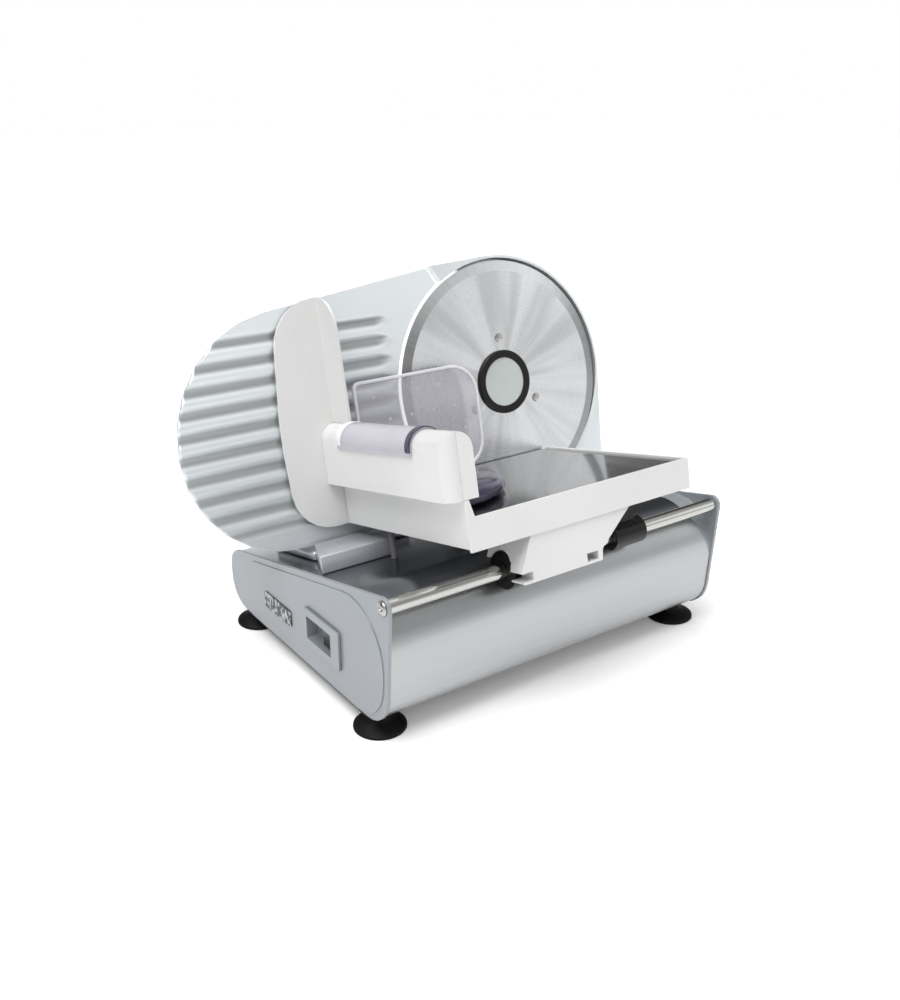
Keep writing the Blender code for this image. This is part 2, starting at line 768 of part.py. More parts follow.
def guide_rod(root):
    """Chromed rod that the carriage slides on, screwed to both end panels."""
    end = HALF_LENGTH - PANEL_WALL - GAP
    rod = cylinder("guide_rod", root, (0, ROD_Y, ROD_Z), ROD_RADIUS, -end, end, ALONG_X, 32)
    finish(rod, CHROME, 0.08, 1.0)
    for side, outward in (("left", -1), ("right", 1)):
        bore = cylinder(
            f"rod_bore_{side}",
            root,
            (outward * end, ROD_Y, ROD_Z),
            SHANK_RADIUS + GAP,
            -0.012,
            0.012,
            ALONG_X,
            16,
            True,
        )
        boolean(rod, "DIFFERENCE", bore)
        turn = ALONG_X if outward > 0 else ALONG_X @ Matrix.Rotation(pi, 4, "X")
        seat = (outward * (HALF_LENGTH + GAP), ROD_Y, ROD_Z)
        screw = cross_screw(
            f"rod_screw_{side}",
            root,
            seat,
            turn,
            ROD_SCREW_RADIUS,
            ROD_SCREW_DOME,
            0.012,
            24,
        )
        finish(screw, CHROME, 0.12, 1.0)


# ---------------------------------------------------------------- switch, badge and inlet
def pocket_outline(grow):
    """Outline of the switch pocket as (y, z), grown on every side."""
    half_length = POCKET_LENGTH / 2 + grow
    half_height = POCKET_HEIGHT / 2 + grow
    return rectangle(
        POCKET_Y - half_length, POCKET_Y + half_length, SWITCH_Z - half_height, SWITCH_Z + half_height, 0.0015
    )


def switch(root, rocker_body):
    """Bezel with a finger pocket, the rocker in it and the contact block behind."""
    face = -HALF_LENGTH - FIELD_HEIGHT - GAP
    floor = face + POCKET_DEPTH
    half_length, half_height = BEZEL_LENGTH / 2, BEZEL_HEIGHT / 2
    edge = rectangle(
        SWITCH_Y - half_length, SWITCH_Y + half_length, SWITCH_Z - half_height, SWITCH_Z + half_height, 0.003
    )
    bezel = solid("switch_bezel", root, [edge], face - BEZEL_PROUD, face, ALONG_X)
    tub = solid(
        "switch_tub",
        root,
        [pocket_outline(POCKET_WALL)],
        face - 0.001,
        floor + POCKET_WALL,
        ALONG_X,
        cutter=True,
    )
    hollow = solid("switch_pocket", root, [pocket_outline(0)], face - OVERRUN, floor, ALONG_X, cutter=True)
    pivot_x, pivot_y = rocker_body.home.x, rocker_body.home.y
    reach = POCKET_HEIGHT / 2 + 0.001
    pins = cylinder("pin_holes", root, (pivot_x, pivot_y, SWITCH_Z), 0.0015, -reach, reach, UPRIGHT, 12, True)
    boolean(bezel, "UNION", tub)
    boolean(bezel, "DIFFERENCE", hollow, pins)
    finish(bezel, PANEL_GREY, 0.35)

    half = ROCKER_LENGTH / 2
    shape = [(-0.0022, -half), (0.0018, -half), (0.0026, 0), (0.0018, half), (-0.0022, half), (-0.0012, 0)]
    lean = Matrix.Rotation(-ROCKER_TILT, 2)
    outline = [tuple(lean @ Vector(point)) for point in shape]
    tall = POCKET_HEIGHT / 2 - 0.0006
    centre = (pivot_x, pivot_y, SWITCH_Z)
    rocker = solid("switch_rocker", rocker_body, [outline], -tall, tall, UPRIGHT, centre)
    pin = cylinder("rocker_pin", rocker_body, centre, 0.0012, -reach + GAP, reach - GAP, UPRIGHT, 12, True)
    boolean(rocker, "UNION", pin)
    finish(rocker, BLACK, 0.3)

    block = box(
        "switch_block",
        root,
        (floor + POCKET_WALL + GAP, POCKET_Y - 0.014, SWITCH_Z - 0.008),
        (floor + POCKET_WALL + 0.018, POCKET_Y + 0.014, SWITCH_Z + 0.008),
    )
    finish(soften(block, 0.0006), BLACK, 0.5)


def badge(root):
    """Plain plate on the left panel."""
    face = -HALF_LENGTH - FIELD_HEIGHT - GAP
    half_length, half_height = BADGE_LENGTH / 2, BADGE_HEIGHT / 2
    outline = rectangle(
        BADGE_Y - half_length,
        BADGE_Y + half_length,
        BADGE_Z - half_height,
        BADGE_Z + half_height,
        0.0015,
    )
    plate = solid("badge", root, [outline], face - BADGE_THICKNESS, face, ALONG_X)
    return finish(plate, STEEL, 0.3, 1.0)


def cord_inlet(root):
    """Flanged bush in the right panel where the mains lead goes in."""
    profile = [
        (INLET_BORE, HALF_LENGTH + 0.0022),
        (INLET_RADIUS + 0.0015, HALF_LENGTH + 0.0022),
        (INLET_RADIUS + 0.0025, HALF_LENGTH + 0.0012),
        (INLET_RADIUS + 0.0025, HALF_LENGTH + GAP),
        (INLET_RADIUS, HALF_LENGTH + GAP),
        (INLET_RADIUS, HALF_LENGTH - PANEL_WALL - 0.004),
        (INLET_BORE, HALF_LENGTH - PANEL_WALL - 0.004),
    ]
    bush = turned("cord_inlet", root, (0, INLET_Y, INLET_Z), profile, ALONG_X, 24)
    return finish(bush, BLACK, 0.6)


# ---------------------------------------------------------------- blade and drive
def blade_group(spin):
    """Blade, the gear it is screwed to and the hub cover in front."""
    bore = AXLE_RADIUS + GAP
    profile = [
        (bore, 0),
        (BLADE_RADIUS - BEVEL_WIDTH, 0),
        (BLADE_RADIUS, -BEVEL_DROP),
        (BLADE_RADIUS - 0.0006, -BLADE_THICKNESS),
        (bore, -BLADE_THICKNESS),
    ]
    blade = turned("blade", spin, (0, 0, 0), profile, steps=72)
    finish(blade, STEEL, 0.22, 1.0)

    phase = DRIVE_ANGLE + pi / GEAR_TEETH
    ring = arc(0, 0, bore, 0, 2 * pi)[:-1]
    outline = gear_outline(GEAR_TEETH, PITCH_RADIUS, phase)
    gear = solid("blade_gear", spin, [outline, ring], GEAR_FRONT, GEAR_FRONT + GEAR_WIDTH)
    finish(gear, NYLON, 0.5)

    ring_profile = [
        (HUB_RING_BORE, HUB_RING_HEIGHT),
        (HUB_RING_RADIUS - 0.0008, HUB_RING_HEIGHT),
        (HUB_RING_RADIUS, HUB_RING_HEIGHT - 0.0008),
        (HUB_RING_RADIUS, GAP),
        (HUB_RING_BORE, GAP),
    ]
    finish(turned("hub_ring", spin, (0, 0, 0), ring_profile, steps=48), BLACK, 0.35)
    cap_radius = HUB_RING_BORE - GAP
    cap_profile = [
        (0, HUB_CAP_HEIGHT),
        (cap_radius - 0.0006, HUB_CAP_HEIGHT),
        (cap_radius, HUB_CAP_HEIGHT - 0.0006),
        (cap_radius, GAP),
        (0, GAP),
    ]
    finish(turned("hub_cap", spin, (0, 0, 0), cap_profile, steps=48), (0.72, 0.76, 0.74), 0.3, 0.6)

    for index in range(BLADE_SCREWS):
        angle = pi / 2 + 2 * pi * index / BLADE_SCREWS
        x, up = BLADE_SCREW_CIRCLE * cos(angle), BLADE_SCREW_CIRCLE * sin(angle)
        hole = cylinder(
            f"blade_hole_{index + 1}",
            spin,
            (x, 0, up),
            SHANK_RADIUS + GAP,
            -OVERRUN,
            OVERRUN,
            sides=12,
            cutter=True,
        )
        boolean(blade, "DIFFERENCE", hole)
        boolean(gear, "DIFFERENCE", hole)
        length = GEAR_FRONT + GEAR_WIDTH
        screw = cross_screw(
            f"blade_screw_{index + 1}",
            spin,
            (x, -GAP, up),
            ALONG_Y,
            BLADE_SCREW_RADIUS,
            0.001,
            length,
        )
        finish(screw, CHROME, 0.2, 1.0)


def axle(deck):
    """Fixed axle of the blade, flanged against the back of the housing web."""
    back = WEB_BACK + GAP
    profile = [
        (0, -GAP),
        (AXLE_RADIUS, -GAP),
        (AXLE_RADIUS, -back),
        (AXLE_RADIUS + 0.005, -back),
        (AXLE_RADIUS + 0.005, -back - 0.003),
        (0, -back - 0.003),
    ]
    return finish(turned("blade_axle", deck, (0, 0, 0), profile), STEEL, 0.3, 1.0)


def motor(deck, rotor):
    """Motor can with its mounting face on the web, the rotor with its pinion, and the fan."""
    front = -WEB_BACK - GAP
    back = front - MOTOR_LENGTH
    axis = (MOTOR_X, 0, MOTOR_UP)
    neck = MOTOR_SHAFT + 0.0012
    inner = MOTOR_RADIUS - MOTOR_WALL
    profile = [
        (neck, front),
        (MOTOR_RADIUS - 0.002, front),
        (MOTOR_RADIUS, front - 0.002),
        (MOTOR_RADIUS, back + 0.002),
        (MOTOR_RADIUS - 0.002, back),
        (neck, back),
        (neck, back + MOTOR_WALL),
        (inner, back + MOTOR_WALL),
        (inner, front - MOTOR_WALL),
        (neck, front - MOTOR_WALL),
    ]
    finish(turned("motor_can", deck, axis, profile, steps=28), STEEL, 0.35, 1.0)

    core = inner - 0.0015
    inside = MOTOR_WALL + 0.008
    tail = back - 0.009
    shaft_profile = [
        (0, -GEAR_FRONT - GEAR_WIDTH + 0.001),
        (MOTOR_SHAFT, -GEAR_FRONT - GEAR_WIDTH + 0.001),
        (MOTOR_SHAFT, front - inside),
        (core, front - inside),
        (core, back + inside),
        (MOTOR_SHAFT, back + inside),
        (MOTOR_SHAFT, tail),
        (0, tail),
    ]
    finish(turned("motor_rotor", rotor, axis, shaft_profile, steps=24), STEEL, 0.4, 1.0)
    outline = gear_outline(PINION_TEETH, PINION_RADIUS, DRIVE_ANGLE + pi)
    pinion = solid(
        "motor_pinion",
        rotor,
        [outline],
        GEAR_FRONT + GAP,
        GEAR_FRONT + GEAR_WIDTH - 0.0015,
        centre=axis,
    )
    finish(pinion, STEEL, 0.3, 1.0)

    hub_start, hub_end = GAP - tail, 0.006 - tail
    fan = cylinder("motor_fan", rotor, axis, 0.0075, hub_start, hub_end, sides=24)
    for index in range(FAN_VANES):
        vane = box(
            f"fan_vane_{index + 1}",
            rotor,
            (MOTOR_X - 0.0006, hub_start + 0.0004, MOTOR_UP + 0.005),
            (MOTOR_X + 0.0006, hub_end - 0.0004, MOTOR_UP + MOTOR_RADIUS - 0.004),
            cutter=True,
        )
        spin = Matrix.Rotation(2 * pi * index / FAN_VANES, 4, "Y")
        home = Matrix.Translation(Vector(axis) - rotor.home)
        vane.matrix_basis = home @ spin @ home.inverted() @ vane.matrix_basis
        boolean(fan, "UNION", vane)
    finish(fan, BLACK, 0.5)


# ---------------------------------------------------------------- housing
def blade_housing(deck):
    """Upright moulding behind the blade: guard ring, web and the foot on the base."""
    outer = BLADE_RADIUS + RING_GAP + RING_WALL
    pocket = BLADE_RADIUS + RING_GAP
    cut_x = 0.0042 - PLATE_CUT
    foot = DECK + GAP
    outline = [(cut_x, plate_top(cut_x) + 0.0012)]
    outline += arc(0, 0, outer, pi / 2 + atan2(PLATE_SLOPE, 1), 0, steps=16)
    outline += [(outer, foot), (HOUSING_FOOT_LEFT, foot), (HOUSING_FOOT_LEFT, -0.8 * BLADE_RADIUS)]
    outline += [(cut_x + 0.012, 0.86 * BLADE_RADIUS)]
    housing = solid("blade_housing", deck, [outline], RING_FRONT, WEB_BACK)
    well = cylinder("blade_well", deck, (0, 0, 0), pocket, -OVERRUN, WEB_FRONT, sides=72, cutter=True)
    low = -0.66 * BLADE_RADIUS
    chute_outline = arc(0, 0, pocket, acos(WEB_LEFT / pocket), pi - asin(low / pocket))
    chute_outline.append((WEB_LEFT, low))
    chute = solid("slice_chute", deck, [chute_outline], -OVERRUN, WEB_BACK + OVERRUN, cutter=True)
    slope = (HOUSING_RAKE - RING_FRONT) / DECK
    rake_outline = [
        (-OVERRUN, 0),
        (RING_FRONT, 0),
        (HOUSING_RAKE - slope * OVERRUN, DECK - OVERRUN),
        (-OVERRUN, DECK - OVERRUN),
    ]
    rake = solid("housing_rake", deck, [rake_outline], -2 * outer, 2 * outer, ALONG_X, cutter=True)
    axle_hole = cylinder(
        "axle_hole",
        deck,
        (0, 0, 0),
        AXLE_RADIUS + GAP,
        0,
        WEB_BACK + OVERRUN,
        sides=32,
        cutter=True,
    )
    shaft_hole = cylinder(
        "shaft_hole",
        deck,
        (MOTOR_X, 0, MOTOR_UP),
        MOTOR_SHAFT + 0.001,
        0,
        WEB_BACK + OVERRUN,
        sides=24,
        cutter=True,
    )
    wing = box(
        "housing_wing",
        deck,
        (-2 * outer, WING_BACK, 0.6 * BLADE_RADIUS),
        (-0.25 * BLADE_RADIUS, WEB_BACK + OVERRUN, 2 * outer),
        cutter=True,
    )
    boolean(
        housing,
        "DIFFERENCE",
        well,
        chute,
        rake,
        wing,
        axle_hole,
        shaft_hole,
        panel_notch("housing", deck),
    )
    return finish(housing, PLATE_SILVER, 0.4, 0.4)


def panel_notch(name, deck):
    """Relief over the edge of the right panel, which stands above the deck."""
    low = (BLADE_FROM_RIGHT - PANEL_WALL - GAP, -OVERRUN, DECK - OVERRUN)
    high = (BLADE_FROM_RIGHT + OVERRUN, BASE_LENGTH, DECK + PANEL_PROUD + GAP)
    return box(f"{name}_notch", deck, low, high, cutter=True)


def motor_cover(deck):
    """Rounded box over the motor, open to the web, with cooling slots in its back."""
    front = WEB_BACK + GAP
    right = BLADE_RADIUS + RING_GAP
    back = front + COVER_DEPTH
    foot = DECK + GAP
    cover = solid("motor_cover", deck, [rectangle(COVER_LEFT, right, foot, COVER_TOP, 0.016)], front, back)
    inner = rectangle(
        COVER_LEFT + COVER_WALL, right - COVER_WALL, foot + COVER_WALL, COVER_TOP - COVER_WALL, 0.0135
    )
    hollow = solid("cover_hollow", deck, [inner], front - OVERRUN, back - COVER_WALL, cutter=True)
    boolean(cover, "DIFFERENCE", hollow, panel_notch("cover", deck))
    middle = (COVER_LEFT + right) / 2
    for index in range(VENT_SLOTS):
        up = MOTOR_UP + 0.009 * (index - (VENT_SLOTS - 1) / 2)
        slot = box(
            f"vent_{index + 1}",
            deck,
            (middle - 0.030, back - OVERRUN, up - 0.002),
            (middle + 0.030, back + OVERRUN, up + 0.002),
            cutter=True,
        )
        boolean(cover, "DIFFERENCE", slot)
    return finish(cover, PLATE_SILVER, 0.45, 0.3)


# ---------------------------------------------------------------- thickness plate and gauge
def plate_top(x):
    """Height of the plate's straight top edge at x."""
    return BLADE_RADIUS + PLATE_SLOPE * (x + PLATE_CUT)


def plate_outline(inset=0.0):
    """Thickness plate seen from the front: long rounded left end and an arc beside the blade."""
    low = DECK + PLATE_FOOT + inset
    left = inset - PLATE_REACH
    cut = -PLATE_CUT - 0.6 * inset
    edge = BLADE_RADIUS + PLATE_GAP + inset
    right = HOUSING_FOOT_LEFT - PLATE_GAP - inset
    beside_blade = arc(0, 0, edge, pi + acos(-right / edge), radians(122), steps=14)
    return rounded([
        (cut, plate_top(cut) - inset, 0),
        (left, plate_top(left) - inset, PLATE_TOP_RADIUS - inset),
        (left, low, PLATE_LOW_RADIUS - inset),
        (right, low, 0),
    ] + [(x, up, 0) for x, up in beside_blade])


def thickness_plate(gauge):
    """Plate that sets the slice thickness, with shallow grooves along its left part."""
    plate = solid("thickness_plate", gauge, [plate_outline()], PLATE_FRONT, PLATE_BACK)
    radius = (GROOVE_WIDTH ** 2 / 4 + GROOVE_DEPTH ** 2) / (2 * GROOVE_DEPTH)
    for index in range(GROOVES):
        centre = (0, PLATE_FRONT + GROOVE_DEPTH - radius, GROOVE_TOP - GROOVE_PITCH * index)
        start = -PLATE_REACH - OVERRUN
        groove = cylinder(f"groove_{index + 1}", gauge, centre, radius, start, -GROOVE_END, ALONG_X, 96, True)
        boolean(plate, "DIFFERENCE", groove)
    return finish(plate, PLATE_SILVER, 0.38, 0.7)


def plate_carrier(gauge):
    """Flange and tongue behind the plate; the tongue slides in the gauge tower."""
    axis = (GAUGE_X, 0, GAUGE_UP)
    start = PLATE_BACK + GAP
    flange = rectangle(GAUGE_X - 0.030, GAUGE_X + 0.030, GAUGE_UP - 0.018, GAUGE_UP + 0.022, 0.005)
    carrier = solid("plate_carrier", gauge, [flange], start, CARRIER_BACK)
    tongue = cylinder(
        "tongue",
        gauge,
        axis,
        TONGUE_RADIUS,
        CARRIER_BACK - 0.001,
        TONGUE_END,
        sides=28,
        cutter=True,
    )
    bore = cylinder(
        "tongue_bore",
        gauge,
        axis,
        TONGUE_BORE,
        CARRIER_BACK + 0.002,
        TONGUE_END + OVERRUN,
        sides=24,
        cutter=True,
    )
    boolean(carrier, "UNION", tongue)
    boolean(carrier, "DIFFERENCE", bore)
    return finish(carrier, CASTING, 0.45, 0.5)


def gauge_tower(deck):
    """Tower that guides the tongue, its foot on the base, and the block in front of the plate."""
    axis = (GAUGE_X, 0, GAUGE_UP)
    foot_top = DECK + GAP + GAUGE_FOOT_HEIGHT
    outline = rounded([
        (GAUGE_X - TOWER_WIDTH / 2, foot_top + GAP, 0),
        (GAUGE_X + TOWER_WIDTH / 2, foot_top + GAP, 0),
        (GAUGE_X + TOWER_WIDTH / 2, GAUGE_UP + TOWER_RISE, 0.018),
        (GAUGE_X - TOWER_WIDTH / 2, GAUGE_UP + TOWER_RISE, 0.018),
    ])
    tower = solid("gauge_tower", deck, [outline], TOWER_FRONT, TOWER_BACK)
    bore = cylinder(
        "tower_bore", deck, axis, TONGUE_RADIUS + GAP, 0, TOWER_BACK - TOWER_WALL, sides=32, cutter=True
    )
    hole = cylinder(
        "tower_hole",
        deck,
        axis,
        SCREW_SHAFT + GAP,
        0,
        TOWER_BACK + OVERRUN,
        sides=24,
        cutter=True,
    )
    boolean(tower, "DIFFERENCE", bore, hole)
    finish(tower, PLATE_SILVER, 0.45, 0.3)

    foot = box(
        "gauge_foot",
        deck,
        (GAUGE_FOOT_LEFT, TRAY_BACK + GAP, DECK + GAP),
        (GAUGE_FOOT_LEFT + GAUGE_FOOT_WIDTH, TOWER_BACK, foot_top),
    )
    finish(soften(foot, 0.002), PLATE_SILVER, 0.45, 0.3)
    right = BLOCK_LEFT + BLOCK_WIDTH
    plan = [
        (BLOCK_LEFT, BLOCK_FRONT),
        (right, BLOCK_FRONT),
        (right, TRAY_BACK),
        (BLOCK_LEFT + BLOCK_TAPER, TRAY_BACK),
    ]
    block = solid("guide_block", deck, [plan], DECK + GAP, DECK + GAP + BLOCK_HEIGHT, UPRIGHT)
    finish(soften(block, 0.0012), PLATE_SILVER, 0.4, 0.4)


def thickness_knob(knob):
    """Fluted knob behind the tower, with the shaft that reaches into the tongue."""
    axis = (GAUGE_X, 0, GAUGE_UP)
    flute = 2 * pi / KNOB_FLUTES
    outline = []
    for index in range(KNOB_FLUTES):
        for share, depth in ((0, 0.0), (0.42, 0.0), (0.58, 0.0016), (0.84, 0.0016)):
            angle = flute * (index + share)
            outline.append(((KNOB_RADIUS - depth) * cos(angle), (KNOB_RADIUS - depth) * sin(angle)))
    start = TOWER_BACK + 0.0006
    made = solid("thickness_knob", knob, [outline], start, start + KNOB_DEPTH, centre=axis)
    shaft = cylinder(
        "knob_shaft",
        knob,
        axis,
        SCREW_SHAFT,
        CARRIER_BACK + PLATE_TRAVEL + 0.004,
        start + 0.002,
        sides=20,
        cutter=True,
    )
    boolean(made, "UNION", shaft)
    return finish(made, BLACK, 0.45)


# ---------------------------------------------------------------- carriage
def carriage_frame(carriage):
    """Tray frame: floor, left side under the food wall, front skirt and a low right lip."""
    back = GUARD_FRONT - GAP
    under = FLOOR_UNDER - GAP
    skirt = RIM - SKIRT_DEPTH
    side_low = RIM - SIDE_DEPTH
    wall = CARRIAGE_WALL
    side_top = DECK + WALL_FOOT - GAP
    outline = [
        (TRAY_LEFT, skirt),
        (TRAY_RIGHT, skirt),
        (TRAY_RIGHT, RIM),
        (TRAY_LEFT + POST_WIDTH, RIM),
        (TRAY_LEFT + POST_WIDTH / 2, side_top),
        (TRAY_LEFT, side_top),
    ]
    frame = solid("carriage_frame", carriage, [outline], TRAY_FRONT, back)
    hollow = box(
        "frame_hollow",
        carriage,
        (TRAY_LEFT + wall, TRAY_FRONT + wall, under),
        (TRAY_RIGHT - wall, back + OVERRUN, side_top + OVERRUN),
        cutter=True,
    )
    below = [
        (TRAY_LEFT - OVERRUN, skirt - OVERRUN),
        (TRAY_RIGHT + OVERRUN, skirt - OVERRUN),
        (TRAY_RIGHT + OVERRUN, under - wall),
        (TRAY_LEFT + wall, under - wall),
        (TRAY_LEFT + wall, side_low),
        (TRAY_LEFT - OVERRUN, side_low),
    ]
    space = solid("frame_space", carriage, [below], TRAY_FRONT + wall, back + OVERRUN, cutter=True)
    boolean(frame, "DIFFERENCE", hollow, space)
    return finish(frame, CASTING, 0.4, 0.25)


def tray_plate(carriage):
    """Polished steel floor of the tray."""
    wall = CARRIAGE_WALL + GAP
    plate = box(
        "tray_plate",
        carriage,
        (TRAY_LEFT + 3.2 * wall, TRAY_FRONT + wall, FLOOR_UNDER),
        (TRAY_RIGHT - wall, TRAY_BACK, FLOOR_TOP),
    )
    return finish(plate, STEEL, 0.12, 1.0)


def hand_guard(carriage):
    """Tall guard at the left of the tray: a fin in line with the side and a flange on its left."""
    top = DECK + GUARD_TOP
    low = RIM - SIDE_DEPTH
    right = TRAY_LEFT + CARRIAGE_WALL
    left = TRAY_LEFT - GUARD_REACH
    flange_outline = rounded([
        (right, low, 0),
        (left + 0.004, low, 0.036),
        (left, low + 0.085, 0.2),
        (left + 0.0105, top, 0.042),
        (right, top, 0.002),
    ])
    guard = solid("hand_guard", carriage, [flange_outline], GUARD_FRONT, GUARD_FRONT + GUARD_THICKNESS)
    wall_top = DECK + WALL_TOP + GAP
    fin_outline = rounded([
        (GUARD_FRONT - FIN_DEPTH, wall_top, 0),
        (GUARD_FRONT + 0.001, wall_top, 0),
        (GUARD_FRONT + 0.001, top, 0),
        (GUARD_FRONT - FIN_DEPTH, top, FIN_DEPTH),
    ])
    fin = solid("guard_fin", carriage, [fin_outline], TRAY_LEFT, right, ALONG_X, cutter=True)
    boolean(guard, "UNION", fin)
    return finish(guard, CASTING, 0.4, 0.25)


def food_wall(carriage):
    """Hollow-looking bar on the left of the tray, round on top, that the pusher slides on."""
    foot = DECK + WALL_FOOT
    radius = WALL_WIDTH / 2
    outline = [(WALL_OUTER, foot), (WALL_INNER, foot)]
    outline += arc(WALL_AXIS_X, WALL_AXIS_UP, radius, 0, pi)
    wall = solid("food_wall", carriage, [outline], TRAY_FRONT + 0.0005, GUARD_FRONT - GAP)
    corner = box(
        "wall_corner_blank",
        carriage,
        (WALL_OUTER - OVERRUN, TRAY_FRONT - OVERRUN, foot - OVERRUN),
        (WALL_AXIS_X, TRAY_FRONT + 0.0005 + 0.010, DECK + WALL_TOP + OVERRUN),
        cutter=True,
    )
    nose = cylinder(
        "wall_corner_round",
        carriage,
        (WALL_OUTER + 0.010, TRAY_FRONT + 0.0105, 0),
        0.010,
        foot - 2 * OVERRUN,
        DECK + WALL_TOP + 2 * OVERRUN,
        UPRIGHT,
        32,
        True,
    )
    boolean(corner, "DIFFERENCE", nose)
    boolean(wall, "DIFFERENCE", corner)
    return finish(wall, CASTING, 0.4, 0.25)


def carriage_bracket(carriage):
    """Saddle under the front of the tray, with a tunnel for the rod and its bushes."""
    foot = ROD_HEIGHT - BRACKET_FOOT
    skirt = RIM - SKIRT_DEPTH - GAP
    front = TRAY_FRONT + BRACKET_SETBACK
    back = ROD_DEPTH + TUNNEL_RADIUS + BRACKET_BACK
    outline = rounded([
        (BRACKET_LEFT + BRACKET_LEFT_SPLAY, skirt, 0),
        (BRACKET_LEFT, ROD_HEIGHT + 0.002, 0.004),
        (BRACKET_LEFT + 0.001, foot, 0.0015),
        (BRACKET_RIGHT, foot, 0.0015),
        (BRACKET_RIGHT + 0.001, ROD_HEIGHT + 0.003, 0.004),
        (BRACKET_RIGHT + BRACKET_RIGHT_SPLAY, skirt, 0),
    ])
    bracket = solid("carriage_bracket", carriage, [outline], front, back)
    riser = box(
        "bracket_riser",
        carriage,
        (BRACKET_LEFT + BRACKET_LEFT_SPLAY + 0.004, TRAY_FRONT + CARRIAGE_WALL + GAP, skirt - 0.001),
        (BRACKET_RIGHT - 0.004, back, FLOOR_UNDER - 2 * GAP - CARRIAGE_WALL),
        cutter=True,
    )
    tunnel = cylinder(
        "rod_tunnel",
        carriage,
        (0, ROD_DEPTH, ROD_HEIGHT),
        TUNNEL_RADIUS,
        2 * BRACKET_LEFT,
        0.1,
        ALONG_X,
        40,
        True,
    )
    mouth = box(
        "tunnel_mouth",
        carriage,
        (2 * BRACKET_LEFT, ROD_DEPTH - TUNNEL_RADIUS + BRACKET_BACK, foot - OVERRUN),
        (0.1, back + OVERRUN, DECK + 0.002),
        cutter=True,
    )
    boolean(bracket, "UNION", riser)
    boolean(bracket, "DIFFERENCE", tunnel, mouth)
    for side, start in (("left", BRACKET_LEFT - 0.001), ("right", BRACKET_RIGHT - CLIP_WIDTH - 0.004)):
        clip = box(
            f"clip_window_{side}",
            carriage,
            (start, front - OVERRUN, foot + 0.002),
            (start + CLIP_WIDTH, ROD_DEPTH, foot + 0.002 + CLIP_HEIGHT),
            cutter=True,
        )
        boolean(bracket, "DIFFERENCE", clip)
    return finish(bracket, CASTING, 0.42, 0.25)


def bushes(carriage):
    """Two sliding bushes on the rod: one fills the tunnel, one hangs from the floor by a lug."""
    axis = (0, ROD_DEPTH, ROD_HEIGHT)
    left = cylinder(
        "bush_left",
        carriage,
        axis,
        TUNNEL_RADIUS - 2 * GAP,
        LEFT_BUSH_START,
        LEFT_BUSH_START + LEFT_BUSH_LENGTH,
        ALONG_X,
        36,
    )
    right_end = RIGHT_BUSH_START + RIGHT_BUSH_LENGTH
    right = cylinder(
        "bush_right",
        carriage,
        axis,
        RIGHT_BUSH_DIAMETER / 2,
        RIGHT_BUSH_START,
        right_end,
        ALONG_X,
        32,
    )
    middle = (RIGHT_BUSH_START + right_end) / 2
    lug = box(
        "bush_lug",
        carriage,
        (middle - BUSH_LUG, ROD_DEPTH - BUSH_LUG / 2, ROD_HEIGHT + ROD_RADIUS + 0.002),
        (middle + BUSH_LUG, ROD_DEPTH + BUSH_LUG / 2, FLOOR_UNDER - 2 * GAP - CARRIAGE_WALL),
        cutter=True,
    )
    boolean(right, "UNION", lug)
    for name, bush in (("left", left), ("right", right)):
        bore = cylinder(
            f"bush_bore_{name}",
            carriage,
            axis,
            ROD_RADIUS + BUSH_FIT,
            2 * LEFT_BUSH_START,
            2 * HALF_LENGTH,
            ALONG_X,
            32,
            True,
        )
        boolean(bush, "DIFFERENCE", bore)
        finish(bush, BLACK, 0.4)


def glide(carriage):
    """Nylon leg under the tray that rests on the top of the base."""
    top = FLOOR_UNDER - 2 * GAP - CARRIAGE_WALL
    leg = cylinder(
        "carriage_glide",
        carriage,
        (GLIDE_X, GLIDE_DEPTH, 0),
        GLIDE_RADIUS,
        DECK + GAP,
        top,
        UPRIGHT,
        20,
    )
    return finish(leg, NYLON, 0.5)


